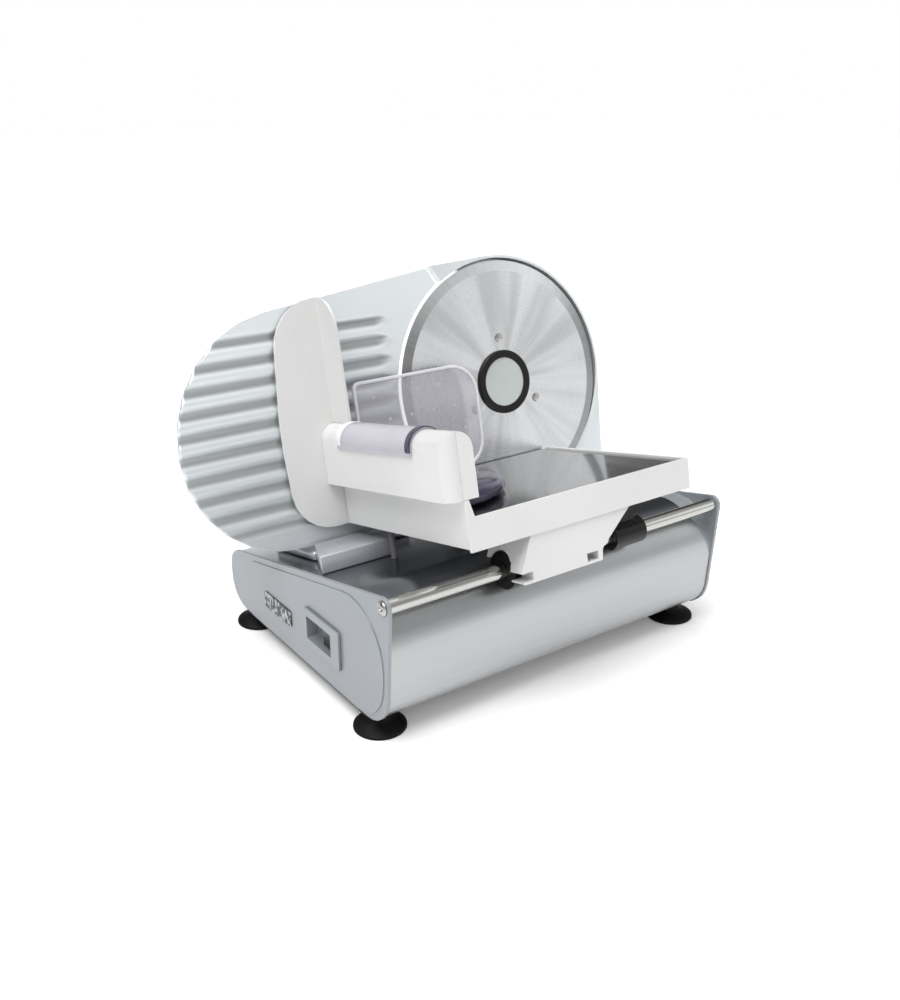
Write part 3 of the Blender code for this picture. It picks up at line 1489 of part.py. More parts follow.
# ---------------------------------------------------------------- food pusher
def pusher_group(pusher):
    """Clear pusher: spiked plate, side arm, floor shelf and the sleeve over the food wall."""
    top = DECK + PUSHER_TOP
    front = PUSHER_BACK - PUSHER_PLATE
    outline = rounded([
        (PUSHER_LEFT, PUSHER_FOOT, 0),
        (PUSHER_RIGHT, PUSHER_FOOT, 0.9 * PUSHER_CORNER),
        (PUSHER_RIGHT, top, PUSHER_CORNER),
        (PUSHER_LEFT, top, 0.006),
    ])
    plate = solid("pusher_plate", pusher, [outline], front, PUSHER_BACK)
    for index, (x, up) in enumerate(spike_places()):
        spike = cylinder(
            f"spike_{index + 1}",
            pusher,
            (x, 0, up),
            SPIKE_RADIUS,
            PUSHER_BACK - 0.001,
            PUSHER_BACK + SPIKE_HEIGHT,
            sides=6,
            cutter=True,
            top=0.0003,
        )
        boolean(plate, "UNION", spike)
    finish(plate, SMOKE, 0.08, alpha=0.35)

    arm = box(
        "pusher_arm",
        pusher,
        (ARM_LEFT, SLEEVE_FRONT, PUSHER_FOOT),
        (ARM_LEFT + ARM_WALL, PUSHER_BACK, WALL_AXIS_UP),
    )
    finish(soften(arm, 0.0007), SMOKE, 0.08, alpha=0.35)

    half_depth = SHELF_MIDDLE - SHELF_FRONT
    back = front - GAP
    edge = arc(
        PUSHER_LEFT,
        SHELF_MIDDLE,
        SHELF_REACH,
        asin((back - SHELF_MIDDLE) / half_depth),
        -pi / 2,
        half_depth,
    )
    top = PUSHER_FOOT + SHELF_THICKNESS
    shelf = solid("pusher_shelf", pusher, [[(PUSHER_LEFT, back)] + edge], PUSHER_FOOT, top, UPRIGHT)
    finish(soften(shelf, 0.0015), SMOKE, 0.08, alpha=0.35)

    low = WALL_AXIS_UP - SLEEVE_HANG
    inner = WALL_WIDTH / 2 + SLEEVE_FIT
    section = [(WALL_AXIS_X + inner, low), (WALL_AXIS_X + SLEEVE_OUTER, low)]
    section += arc(WALL_AXIS_X, WALL_AXIS_UP, SLEEVE_OUTER, 0, pi)
    section += [(WALL_AXIS_X - SLEEVE_OUTER, low), (WALL_AXIS_X - inner, low)]
    section += arc(WALL_AXIS_X, WALL_AXIS_UP, inner, pi, 0)
    sleeve = solid("pusher_sleeve", pusher, [section], SLEEVE_FRONT, SLEEVE_BACK)
    finish(sleeve, SMOKE, 0.1, alpha=0.5)


def spike_places():
    """Centres of the spikes: a staggered grid inside the pusher plate."""
    places = []
    top = DECK + PUSHER_TOP
    for row in range(4):
        up = PUSHER_FOOT + (row + 0.7) * (top - PUSHER_FOOT) / 4.4
        for column in range(5):
            share = (column + 0.5 + 0.4 * (row % 2)) / 5.6
            places.append((PUSHER_LEFT + share * (PUSHER_RIGHT - PUSHER_LEFT), up))
    return places


# ---------------------------------------------------------------- assembly
def centre_on_ground(root):
    """Move the whole object so that its box stands on the ground, centred on the origin."""
    bpy.context.view_layer.update()
    depsgraph = bpy.context.evaluated_depsgraph_get()
    corners = []
    for thing in collection(PARTS).objects:
        if thing.type == "MESH":
            seen = thing.evaluated_get(depsgraph)
            corners += [seen.matrix_world @ vertex.co for vertex in seen.data.vertices]
    middle = [(min(axis) + max(axis)) / 2 for axis in zip(*corners)]
    low = min(corner.z for corner in corners)
    root.empty.location -= Vector((middle[0], middle[1], low))
    bpy.context.view_layer.update()


def main():
    """Build every sub-part of the slicer."""
    for old in list(bpy.data.objects):
        bpy.data.objects.remove(old)
    root = body("slicer", None, (0, 0, 0))
    deck = body("deck", root, BLADE_CENTRE)
    deck.empty.rotation_euler.x = -DECK_TILT
    deck = Body(deck.empty, Vector((0, 0, 0)))
    spin = body("blade_spin", deck, (0, 0, 0))
    rotor = body("rotor_spin", deck, (MOTOR_X, 0, MOTOR_UP))
    gauge = body("gauge_slide", deck, (GAUGE_X, 0, GAUGE_UP))
    knob = body("knob_turn", deck, (GAUGE_X, TOWER_BACK, GAUGE_UP))
    carriage = body("carriage_slide", deck, (0, ROD_DEPTH, ROD_HEIGHT))
    pusher = body("pusher_slide", carriage, (WALL_AXIS_X, 0, WALL_AXIS_UP))
    pivot_x = -HALF_LENGTH - FIELD_HEIGHT - GAP + POCKET_DEPTH - 0.0044
    rocker = body("rocker_turn", root, (pivot_x, SWITCH_Y - 0.004, SWITCH_Z))

    base_wrap(root)
    left_panel(root)
    right_panel(root)
    base_cover(root)
    feet(root)
    guide_rod(root)
    switch(root, rocker)
    badge(root)
    cord_inlet(root)
    blade_group(spin)
    axle(deck)
    motor(deck, rotor)
    blade_housing(deck)
    motor_cover(deck)
    thickness_plate(gauge)
    plate_carrier(gauge)
    gauge_tower(deck)
    thickness_knob(knob)
    carriage_frame(carriage)
    tray_plate(carriage)
    hand_guard(carriage)
    food_wall(carriage)
    carriage_bracket(carriage)
    bushes(carriage)
    glide(carriage)
    pusher_group(pusher)
    centre_on_ground(root)


main()
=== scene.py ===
"""Looks of the deli meat slicer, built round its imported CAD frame."""

import json

import bmesh
import bpy
import numpy as np
from bpy.props import FloatProperty, FloatVectorProperty, IntProperty, PointerProperty
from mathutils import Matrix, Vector

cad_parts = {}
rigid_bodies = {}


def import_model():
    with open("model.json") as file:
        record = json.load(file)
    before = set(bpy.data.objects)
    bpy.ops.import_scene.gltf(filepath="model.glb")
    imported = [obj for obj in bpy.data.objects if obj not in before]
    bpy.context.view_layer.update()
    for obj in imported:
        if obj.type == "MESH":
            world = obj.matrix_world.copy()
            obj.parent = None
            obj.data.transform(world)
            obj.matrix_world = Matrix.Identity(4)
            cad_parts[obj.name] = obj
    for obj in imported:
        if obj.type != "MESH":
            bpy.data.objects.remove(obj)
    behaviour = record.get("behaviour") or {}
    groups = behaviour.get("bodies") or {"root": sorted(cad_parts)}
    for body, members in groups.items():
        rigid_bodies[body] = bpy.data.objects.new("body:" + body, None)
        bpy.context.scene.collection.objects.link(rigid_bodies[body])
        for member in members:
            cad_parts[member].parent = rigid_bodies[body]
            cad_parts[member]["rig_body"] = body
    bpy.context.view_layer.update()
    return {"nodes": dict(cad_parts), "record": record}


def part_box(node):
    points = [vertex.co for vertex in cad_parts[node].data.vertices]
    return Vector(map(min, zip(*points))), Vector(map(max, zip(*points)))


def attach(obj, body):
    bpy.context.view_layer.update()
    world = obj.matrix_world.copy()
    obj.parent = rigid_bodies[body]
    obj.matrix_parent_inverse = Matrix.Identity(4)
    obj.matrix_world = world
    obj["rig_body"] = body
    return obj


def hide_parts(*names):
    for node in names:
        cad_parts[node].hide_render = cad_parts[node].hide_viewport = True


bl_info = {
    "name": "Deli meat slicer",
    "version": (1, 0, 0),
    "blender": (4, 5, 0),
    "location": "3D View > Sidebar > Slicer",
    "description": "Surfaces, finishes and stage of a food slicer with a round blade",
    "category": "Object",
}

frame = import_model()

JOINTS = {joint["name"]: joint for joint in frame["record"]["behaviour"]["joints"]}
HUB = np.array(JOINTS["blade_spin"]["pos_m"], float)
ACROSS = np.array((1.0, 0.0, 0.0))
DEPTH = np.array(JOINTS["blade_spin"]["axis"], float)
DEPTH /= np.linalg.norm(DEPTH)
RISE = np.cross(ACROSS, DEPTH)
TAU = 2 * np.pi

RIB_CREST = 0.066             # uppermost rib above the blade's centre
RIB_PITCH = 0.0179
RIB_TOP = RIB_CREST + 0.016   # the ribs run out above this
RIB_FOOT = -0.090             # and below this
RIB_EASE = 0.008              # over this height
RIB_END = -0.118              # right ends of the ribs
RIB_SWAY = 0.004              # crests reach less far than valleys
RIB_FADE = 0.016              # over this width
# these four set where the painted shade in the ribs' valleys lies
VALLEY_LOW = (-0.092, -0.084)   # the darker valleys fade in over these heights,
VALLEY_HIGH = (0.075, 0.083)    # out again over these,
VALLEY_END = (-0.134, -0.116)   # and out over these widths
VALLEY_DEEP = (0.0030, 0.0034)  # behind the front, so that the back stays plain

FLAT_ENOUGH = 0.6             # degrees between faces that are one flat face
ALONG_WRAP = (3, 1300, 1300)  # brushing runs along the length of the base
PLATE_GRID = (420, 160)
DISC_EDGE = 0.0008            # rounding of the hub disc's edge
DISC_CROWN = 0.0005           # how far its middle stands out
PLATE_ROUND = 0.0012          # rounding of the plate's front edge
UPWARD = 0.8                  # upright share of a normal above which a face is deck
RING_LENGTH = 0.0072          # half rings at the ends of the sleeve
RING_LAP = 0.12               # angle by which they pass the half turn
SPIKE_SIDES = 12
SPIKE_FINDER = 0.001          # corners nearer than this belong to one spike

CAMERA_PLACE = (-0.5125, -0.73076, 0.4981)
CAMERA_YAW = -35.06
CAMERA_PITCH = 22.20
CAMERA_LENS = 38.73
LIGHT_AIM = (0.02, 0.0, 0.12)
AREA_LIGHTS = (               # name, place, size, share of the main light's power
    ("key", (-1.2, -0.3, 1.9), 1.2, 0.8),
    ("fill", (1.9, -1.3, 1.1), 1.0, 0.2),
    ("top", (0.1, 0.5, 2.0), 1.4, 0.6),
)
SUN_FROM = (-0.35, -0.15, 1.0)
SUN_STRENGTH = 1.9
SUN_ANGLE = 40


# ---------------------------------------------------------------- places
def cad_points(node):
    """Every corner of a CAD node, in the row frame."""
    mesh = frame["nodes"][node].data
    flat = np.empty(len(mesh.vertices) * 3)
    mesh.vertices.foreach_get("co", flat)
    return flat.reshape(-1, 3)


def deck_points(node):
    """Every corner of a CAD node as (across, depth, rise) from the blade's centre."""
    return (cad_points(node) - HUB) @ np.array((ACROSS, DEPTH, RISE)).T


def deck_box(node):
    """Lowest and highest (across, depth, rise) of a CAD node, from the blade's centre."""
    local = deck_points(node)
    return local.min(0), local.max(0)


def on_deck(points):
    """(across, depth, rise) from the blade's centre to the row frame."""
    return HUB + np.asarray(points, float) @ np.array((ACROSS, DEPTH, RISE))


# ---------------------------------------------------------------- surfaces
def fillet(corners, radii, steps=6):
    """Closed outline with each corner turned into a curve.

    A = C + r (P - C) / |P - C| and B = C + r (N - C) / |N - C| for the corner C between its
    neighbours P and N; the curve is (1 - t)^2 A + 2 t (1 - t) C + t^2 B."""
    middle = np.asarray(corners, float)
    reach = np.asarray(radii, float)[:, None]
    back = np.roll(middle, 1, axis=0) - middle
    ahead = np.roll(middle, -1, axis=0) - middle
    first = middle + back / np.linalg.norm(back, axis=1, keepdims=True) * reach
    last = middle + ahead / np.linalg.norm(ahead, axis=1, keepdims=True) * reach
    t = np.linspace(0, 1, steps)[None, :, None]
    curve = (1 - t) ** 2 * first[:, None] + 2 * t * (1 - t) * middle[:, None] + t**2 * last[:, None]
    return curve.reshape(-1, 2)


def neighbours(index):
    """Quads between the neighbours of a grid of vertex numbers."""
    quads = np.stack((index[:-1, :-1], index[:-1, 1:], index[1:, 1:], index[1:, :-1]), axis=-1)
    return quads.reshape(-1, 4)


def border(grid):
    """Outer loop of a grid: first row, last column, last row backwards, first column backwards."""
    return np.concatenate((grid[0], grid[1:-1, -1], grid[-1, ::-1], grid[-2:0:-1, 0]))


def skin(name, grid, around=True, along=False, ends="none"):
    """Mesh of a grid of points (rows, columns, 3): quads between neighbours.

    around joins the last column to the first, along the last row to the first, and ends
    closes the first and last rows with one face each."""
    rows, columns = grid.shape[:2]
    index = np.arange(rows * columns).reshape(rows, columns)
    if around:
        index = np.concatenate((index, index[:, :1]), axis=1)
    if along:
        index = np.concatenate((index, index[:1]), axis=0)
    faces = neighbours(index).tolist()
    if ends == "flat":
        faces.append(np.arange(columns)[::-1].tolist())
        faces.append(((rows - 1) * columns + np.arange(columns)).tolist())
    mesh = bpy.data.meshes.new(name)
    mesh.from_pydata(grid.reshape(-1, 3).tolist(), [], faces)
    return tidy_mesh(name, mesh)


def tidy_mesh(name, mesh):
    """Object from a mesh: doubles merged, faces turned outwards and shaded smooth."""
    work = bmesh.new()
    work.from_mesh(mesh)
    bmesh.ops.remove_doubles(work, verts=work.verts, dist=1e-6)
    bmesh.ops.dissolve_degenerate(work, edges=work.edges, dist=1e-7)
    bmesh.ops.recalc_face_normals(work, faces=work.faces)
    work.to_mesh(mesh)
    work.free()
    mesh.shade_smooth()
    piece = bpy.data.objects.new(name, mesh)
    bpy.context.scene.collection.objects.link(piece)
    return piece


def lathe(name, profile, centre, axis, steps=96):
    """Ring surface: centre + a axis + r (cos u side + sin u up) for each (r, a) of the profile."""
    profile = np.asarray(profile, float)
    axis = np.asarray(axis, float) / np.linalg.norm(axis)
    side = ACROSS if abs(axis[0]) < 0.9 else np.array((0.0, 1.0, 0.0))
    side = side - axis * side.dot(axis)
    side /= np.linalg.norm(side)
    up = np.cross(axis, side)
    turn = np.arange(steps) * TAU / steps
    spoke = np.cos(turn)[:, None] * side + np.sin(turn)[:, None] * up
    radius = np.repeat(profile[:, :1], steps, axis=1)
    grid = centre + profile[:, 1][:, None, None] * axis + radius[:, :, None] * spoke[None]
    return skin(name, grid, around=True, along=False)


def ring_lathe(name, profile, centre, axis, steps=96):
    """As lathe, for a closed profile that doesn't touch the axis."""
    return lathe(name, np.vstack((profile, profile[:1])), centre, axis, steps)


def sharpen(piece, degrees=35):
    """Edges steeper than the given angle stay crisp."""
    piece.data.set_sharp_from_angle(angle=np.radians(degrees))
    return piece


def bevelled(piece, width, segments=3, degrees=30):
    """Rounds every edge steeper than the given angle."""
    bevel = piece.modifiers.new("edges", "BEVEL")
    bevel.width = width
    bevel.segments = segments
    bevel.limit_method = "ANGLE"
    bevel.angle_limit = np.radians(degrees)
    bevel.harden_normals = True
    bevel.miter_outer = "MITER_ARC"
    return piece


def from_cad(name, node, width, segments=3, degrees=30):
    """Copy of a CAD node with flat faces made whole and edges rounded; it stands for the node."""
    mesh = frame["nodes"][node].data.copy()
    mesh.materials.clear()
    work = bmesh.new()
    work.from_mesh(mesh)
    bmesh.ops.remove_doubles(work, verts=work.verts, dist=2e-6)
    bmesh.ops.dissolve_limit(
        work,
        angle_limit=np.radians(FLAT_ENOUGH),
        verts=work.verts,
        edges=work.edges,
        use_dissolve_boundaries=False,
    )
    work.to_mesh(mesh)
    work.free()
    mesh.name = name
    mesh.shade_smooth()
    if mesh.has_custom_normals:
        mesh.attributes.remove(mesh.attributes["custom_normal"])
    piece = bpy.data.objects.new(name, mesh)
    bpy.context.scene.collection.objects.link(piece)
    if width:
        bevelled(piece, width, segments, degrees)
    return keep(piece, node)


def keep(piece, *nodes):
    """The piece rides on the body of the CAD nodes that it stands for."""
    body = frame["nodes"][nodes[0]]["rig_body"]
    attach(piece, body)
    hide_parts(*nodes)
    return piece


def add_on(piece, node):
    """The piece is a detail on the body of a CAD node that it doesn't replace."""
    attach(piece, frame["nodes"][node]["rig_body"])
    return piece


def dress(piece, material):
    """Gives a piece, or a CAD node by name, one finish."""
    if isinstance(piece, str):
        piece = frame["nodes"][piece]
    piece.data.materials.clear()
    piece.data.materials.append(material)
    return piece


# ---------------------------------------------------------------- shader arithmetic
class Wire:
    """One output socket, with arithmetic that adds Math nodes."""

    def __init__(self, recipe, socket):
        self.recipe = recipe
        self.socket = socket

    def _math(self, kind, left, right=0.0, third=0.0):
        return self.recipe.add("ShaderNodeMath", {"operation": kind}, {0: left, 1: right, 2: third})

    def __add__(self, other):
        return self._math("ADD", self, other)

    __radd__ = __add__

    def __sub__(self, other):
        return self._math("SUBTRACT", self, other)

    def __rsub__(self, other):
        return self._math("SUBTRACT", other, self)

    def __mul__(self, other):
        return self._math("MULTIPLY", self, other)

    __rmul__ = __mul__

    def __truediv__(self, other):
        return self._math("DIVIDE", self, other)

    def __rtruediv__(self, other):
        return self._math("DIVIDE", other, self)

    def __pow__(self, other):
        return self._math("POWER", self, other)

    def fade(self, low, high):
        """0 below low, 1 above high, smooth between."""
        settings = {"interpolation_type": "SMOOTHSTEP"}
        values = {0: self, 1: low, 2: high, 3: 0.0, 4: 1.0}
        return self.recipe.add("ShaderNodeMapRange", settings, values)


class Tree:
    """Nodes of one finish or of the sky, added one by one."""

    def __init__(self, tree, place):
        self.tree = tree
        self.place = self.add("ShaderNodeTexCoord", out=place)

    def add(self, kind, settings=None, values=None, out=0):
        """Adds a node: settings first, then the values or links of its sockets."""
        node = self.tree.nodes.new(kind)
        for name, value in (settings or {}).items():
            if name == "stops":
                ramp = node.color_ramp
                while len(ramp.elements) < len(value):
                    ramp.elements.new(0.5)
                for element, (position, colour) in zip(ramp.elements, value):
                    element.position = position
                    element.color = (*colour, 1.0)
            else:
                setattr(node, name, value)
        for key, value in (values or {}).items():
            self.feed(node.inputs[key], value)
        return Wire(self, node.outputs[out])

    def feed(self, socket, value):
        """Links a wire to a socket, or sets its value."""
        if isinstance(value, Wire):
            self.tree.links.new(value.socket, socket)
        else:
            socket.default_value = value

    def stretch(self, scale, turn=(0, 0, 0), shift=(0, 0, 0)):
        """Object coordinates, moved, turned and scaled."""
        values = {"Vector": self.place, "Location": shift, "Rotation": turn, "Scale": scale}
        return self.add("ShaderNodeMapping", {"vector_type": "POINT"}, values)

    def noise(self, vector, scale=1.0, detail=3.0, rough=0.55):
        """Noise around one half."""
        values = {"Vector": vector, "Scale": scale, "Detail": detail, "Roughness": rough}
        return self.add("ShaderNodeTexNoise", {}, values)

    def along(self, direction, origin=HUB):
        """Distance from the origin along a direction, in metres."""
        moved = self.add(
            "ShaderNodeVectorMath",
            {"operation": "SUBTRACT"},
            {0: self.place, 1: tuple(float(v) for v in origin)},
        )
        aim = tuple(float(v) for v in direction)
        dot = {"operation": "DOT_PRODUCT"}
        return self.add("ShaderNodeVectorMath", dot, {0: moved, 1: aim}, out="Value")

    def combine(self, *parts):
        """Vector from up to three numbers."""
        return self.add("ShaderNodeCombineXYZ", {}, dict(enumerate(parts)))

    def blend(self, share, first, second):
        """Colour between two colours."""
        values = {"Factor": share, 6: first, 7: second}
        settings = {"data_type": "RGBA", "clamp_factor": True}
        return self.add("ShaderNodeMix", settings, values, out=2)

    def bump(self, height, strength, distance):
        """Normal from a height."""
        values = {"Height": height, "Strength": strength, "Distance": distance}
        return self.add("ShaderNodeBump", {}, values)


class Recipe(Tree):
    """Node tree of one finish, ending in a Principled shader."""

    def __init__(self, name, **constants):
        self.material = bpy.data.materials.new(name)
        self.material.use_nodes = True
        self.shader = self.material.node_tree.nodes["Principled BSDF"]
        for socket, value in constants.items():
            title = socket.replace("_", " ").title().replace("Ior", "IOR")
            self.shader.inputs[title].default_value = value
        super().__init__(self.material.node_tree, "Object")

    def give(self, **inputs):
        """Feeds the shader's own sockets."""
        for name, value in inputs.items():
            self.feed(self.shader.inputs[name.replace("_", " ").title()], value)
        return self.material


def rgb(colour, factor=1.0):
    """Colour with alpha, made lighter or darker."""
    return (*(min(1.0, channel * factor) for channel in colour[:3]), 1.0)


def painted(name, colour, rough=0.38, metallic=0.0, grain=0.00004):
    """Satin paint on moulding: faint clouding, fine orange-peel and slight rubbing."""
    recipe = Recipe(name, metallic=metallic, ior=1.5)
    cloud = recipe.noise(recipe.place, 9.0, 3.0)
    speck = recipe.noise(recipe.place, 900.0, 2.0)
    shade = (cloud * 0.7 + speck * 0.3).fade(0.25, 0.75)
    bump = recipe.bump(recipe.noise(recipe.place, 1400.0, 2.0), 0.35, grain)
    return recipe.give(
        base_color=recipe.blend(shade, rgb(colour, 0.94), rgb(colour, 1.04)),
        roughness=rough + cloud * 0.10 - 0.05,
        normal=bump,
    )


def rib_wave(value, crest, pitch):
    """Share of the way down from a rib's crest: (1 - cos(2 pi (z - z0) / p)) / 2."""
    turn = (value - crest) * (TAU / pitch)
    return 0.5 - turn.recipe.add("ShaderNodeMath", {"operation": "COSINE"}, {0: turn}) * 0.5


def front_face():
    """Depth of the thickness plate's front behind the blade's centre."""
    return float(deck_box("thickness_plate")[0][1])


def ribbed(name, colour):
    """Silver paint with painted shade in the ribs' valleys, so that the crests look lighter;
    lighter towards the top of the plate and darker towards the bottom.
    """
    recipe = Recipe(name, metallic=0.55, ior=1.5)
    rise = recipe.along(RISE)
    across = recipe.along(ACROSS)
    band = rise.fade(*VALLEY_LOW) * (1.0 - rise.fade(*VALLEY_HIGH))
    band = band * (1.0 - across.fade(*VALLEY_END))
    deep = recipe.along(DEPTH)
    front = 1.0 - deep.fade(*(front_face() + step for step in VALLEY_DEEP))
    # painted shade: the valleys are darkened in the colour, on the front only
    valley_shade = rib_wave(rise, RIB_CREST, RIB_PITCH).fade(0.25, 0.95) * band * front
    cloud = recipe.noise(recipe.place, 9.0, 3.0)
    speck = recipe.noise(recipe.place, 900.0, 2.0)
    shade = (cloud * 0.7 + speck * 0.3).fade(0.25, 0.75)
    # lighter towards the top of the plate, darker towards the bottom
    tall = recipe.blend(rise.fade(-0.10, 0.10), rgb(colour, 0.84), rgb(colour, 1.14))
    body = recipe.blend(shade * 0.25, tall, rgb(colour, 0.9))
    return recipe.give(
        base_color=recipe.blend(valley_shade, body, rgb(colour, 0.52)),
        roughness=0.34 + cloud * 0.08,
        normal=recipe.bump(recipe.noise(recipe.place, 1400.0, 2.0), 0.35, 0.00004),
    )


def brushed(name, colour, scale, rough=0.25, depth=0.00002, contrast=0.10):
    """Metal brushed one way: the noise is drawn out along the short scale."""
    recipe = Recipe(name, metallic=1.0)
    lines = recipe.noise(recipe.stretch(scale), 1.0, 4.0, 0.65)
    cloud = recipe.noise(recipe.place, 12.0, 3.0)
    dark, bright = rgb(colour, 1 - contrast), rgb(colour, 1 + contrast)
    return recipe.give(
        base_color=recipe.blend(lines.fade(0.3, 0.7), dark, bright),
        roughness=rough + lines * 0.12 + cloud * 0.06 - 0.09,
        normal=recipe.bump(lines, 0.5, depth),
    )


def ground(name, colour, rim):
    """Blade steel: rings left by grinding, painted sectors of light and shade, and a rougher
    sharpened rim with painted shade and a painted highlight towards its top.
    """
    recipe = Recipe(name, metallic=1.0)
    right = recipe.along(ACROSS)
    rise = recipe.along(RISE)
    radius = (right * right + rise * rise) ** 0.5
    turn = recipe.add("ShaderNodeMath", {"operation": "ARCTAN2"}, {0: rise, 1: right})
    rings = recipe.noise(recipe.combine(radius * 2600.0, turn * 1.3), 1.0, 3.0)
    unit_right = right / radius
    unit_rise = rise / radius
    around = recipe.combine(unit_right * 3.0, unit_rise * 3.0, radius * 6.0)
    # painted light and shade: broad sectors and finer spokes round the blade's centre
    light_sector = recipe.noise(around, 1.0, 2.0)
    fine = recipe.noise(recipe.combine(unit_right * 30.0, unit_rise * 30.0), 1.0, 3.0)
    tone = light_sector.fade(0.32, 0.68) * 0.75 + (fine - 0.5) * 0.35 + (rings - 0.5) * 0.25 + 0.1
    face = recipe.blend(tone, rgb(colour, 1.0), rgb(colour, 1.5))
    # the sharpened rim: darker as painted shade, lighter towards its top as a painted highlight
    on_rim = radius.fade(rim - 0.0004, rim + 0.0004)
    rim_highlight_share = unit_rise.fade(0.35, 1.0) + (fine - 0.5) * 0.5
    edge = recipe.blend(rim_highlight_share, rgb(colour, 0.55), rgb(colour, 1.3))
    return recipe.give(
        base_color=recipe.blend(on_rim, face, edge),
        roughness=0.26 + (rings - 0.5) * 0.14 + on_rim * 0.12,
        normal=recipe.bump(rings, 0.3, 0.00003),
    )


def printed(name, colour):
    """Small metal plate with a dark field and two rows of worn, unreadable silver marks."""
    recipe = Recipe(name, metallic=0.8)
    marks = recipe.noise(recipe.stretch((40, 260, 120)), 1.0, 2.0).fade(0.50, 0.56)
    cloud = recipe.noise(recipe.place, 60.0, 3.0)
    return recipe.give(
        base_color=recipe.blend(marks, rgb(colour, 0.14), rgb(colour, 0.9)),
        roughness=0.34 + cloud * 0.12,
        normal=recipe.bump(marks, 0.4, 0.0001),
    )


def polished(name, colour, rough=0.08):
    """Bright plating with a few faint rub marks."""
    recipe = Recipe(name, metallic=1.0)
    marks = recipe.noise(recipe.stretch((30, 900, 900)), 1.0, 3.0)
    return recipe.give(
        base_color=recipe.blend(marks, rgb(colour, 0.95), rgb(colour, 1.04)),
        roughness=rough + marks * 0.06,
        normal=recipe.bump(marks, 0.2, 0.00001),
    )


def moulded(name, colour, rough=0.45, grain=0.00006, specular=0.5):
    """Black or coloured plastic with a fine moulded grain."""
    recipe = Recipe(name, ior=1.5, specular_ior_level=specular)
    speck = recipe.noise(recipe.place, 1600.0, 2.0)
    cloud = recipe.noise(recipe.place, 25.0, 3.0)
    return recipe.give(
        base_color=recipe.blend(cloud, rgb(colour, 0.8), rgb(colour, 1.25)),
        roughness=rough + (cloud - 0.5) * 0.2,
        normal=recipe.bump(speck, 0.4, grain),
    )


def clear(name, colour, alpha, rough=0.06):
    """Smoky clear plastic: thin, glossy, with faint flow marks."""
    recipe = Recipe(name, ior=1.49)
    flow = recipe.noise(recipe.place, 30.0, 3.0)
    return recipe.give(
        base_color=recipe.blend(flow, rgb(colour, 0.92), rgb(colour, 1.06)),
        roughness=rough + flow * 0.05,
        alpha=alpha + (flow - 0.5) * 0.06,
        normal=recipe.bump(flow, 0.15, 0.0001),
    )


# ---------------------------------------------------------------- settings
class SlicerPaint(bpy.types.PropertyGroup):
    """Colours of the finishes."""

    silver: FloatVectorProperty(
        name="Plate silver",
        description="Plate and housings",
        subtype="COLOR",
        size=3,
        default=(0.74, 0.775, 0.79),
    )
    casting: FloatVectorProperty(
        name="Carriage grey",
        description="Carriage and guard",
        subtype="COLOR",
        size=3,
        default=(0.68, 0.68, 0.675),
    )
    panel: FloatVectorProperty(
        name="Panel grey",
        description="End panels",
        subtype="COLOR",
        size=3,
        default=(0.30, 0.32, 0.34),
    )
    steel: FloatVectorProperty(
        name="Steel",
        description="Bare steel",
        subtype="COLOR",
        size=3,
        default=(0.62, 0.63, 0.64),
    )
    smoke: FloatVectorProperty(
        name="Smoke",
        description="Clear pusher",
        subtype="COLOR",
        size=3,
        default=(0.62, 0.61, 0.67),
    )


class SlicerSizes(bpy.types.PropertyGroup):
    """Sizes of the details."""

    edge: FloatProperty(
        name="Edge", description="Rounding of moulded edges", unit="LENGTH", default=0.0011
    )
    rib: FloatProperty(
        name="Rib", description="Height of the plate's ribs", unit="LENGTH", default=0.0026
    )
    sides: IntProperty(name="Sides", description="Steps round a turned piece", default=128)


class SlicerStage(bpy.types.PropertyGroup):
    """Light and floor."""

    floor: FloatProperty(
        name="Floor", description="Half the floor's width", unit="LENGTH", default=8.0
    )
    key: FloatProperty(name="Key", description="Power of the main light", default=14.0)


def paint():
    """The scene's colours."""
    return bpy.context.scene.slicer_paint


def sizes():
    """The scene's sizes."""
    return bpy.context.scene.slicer_sizes


_finishes = {}


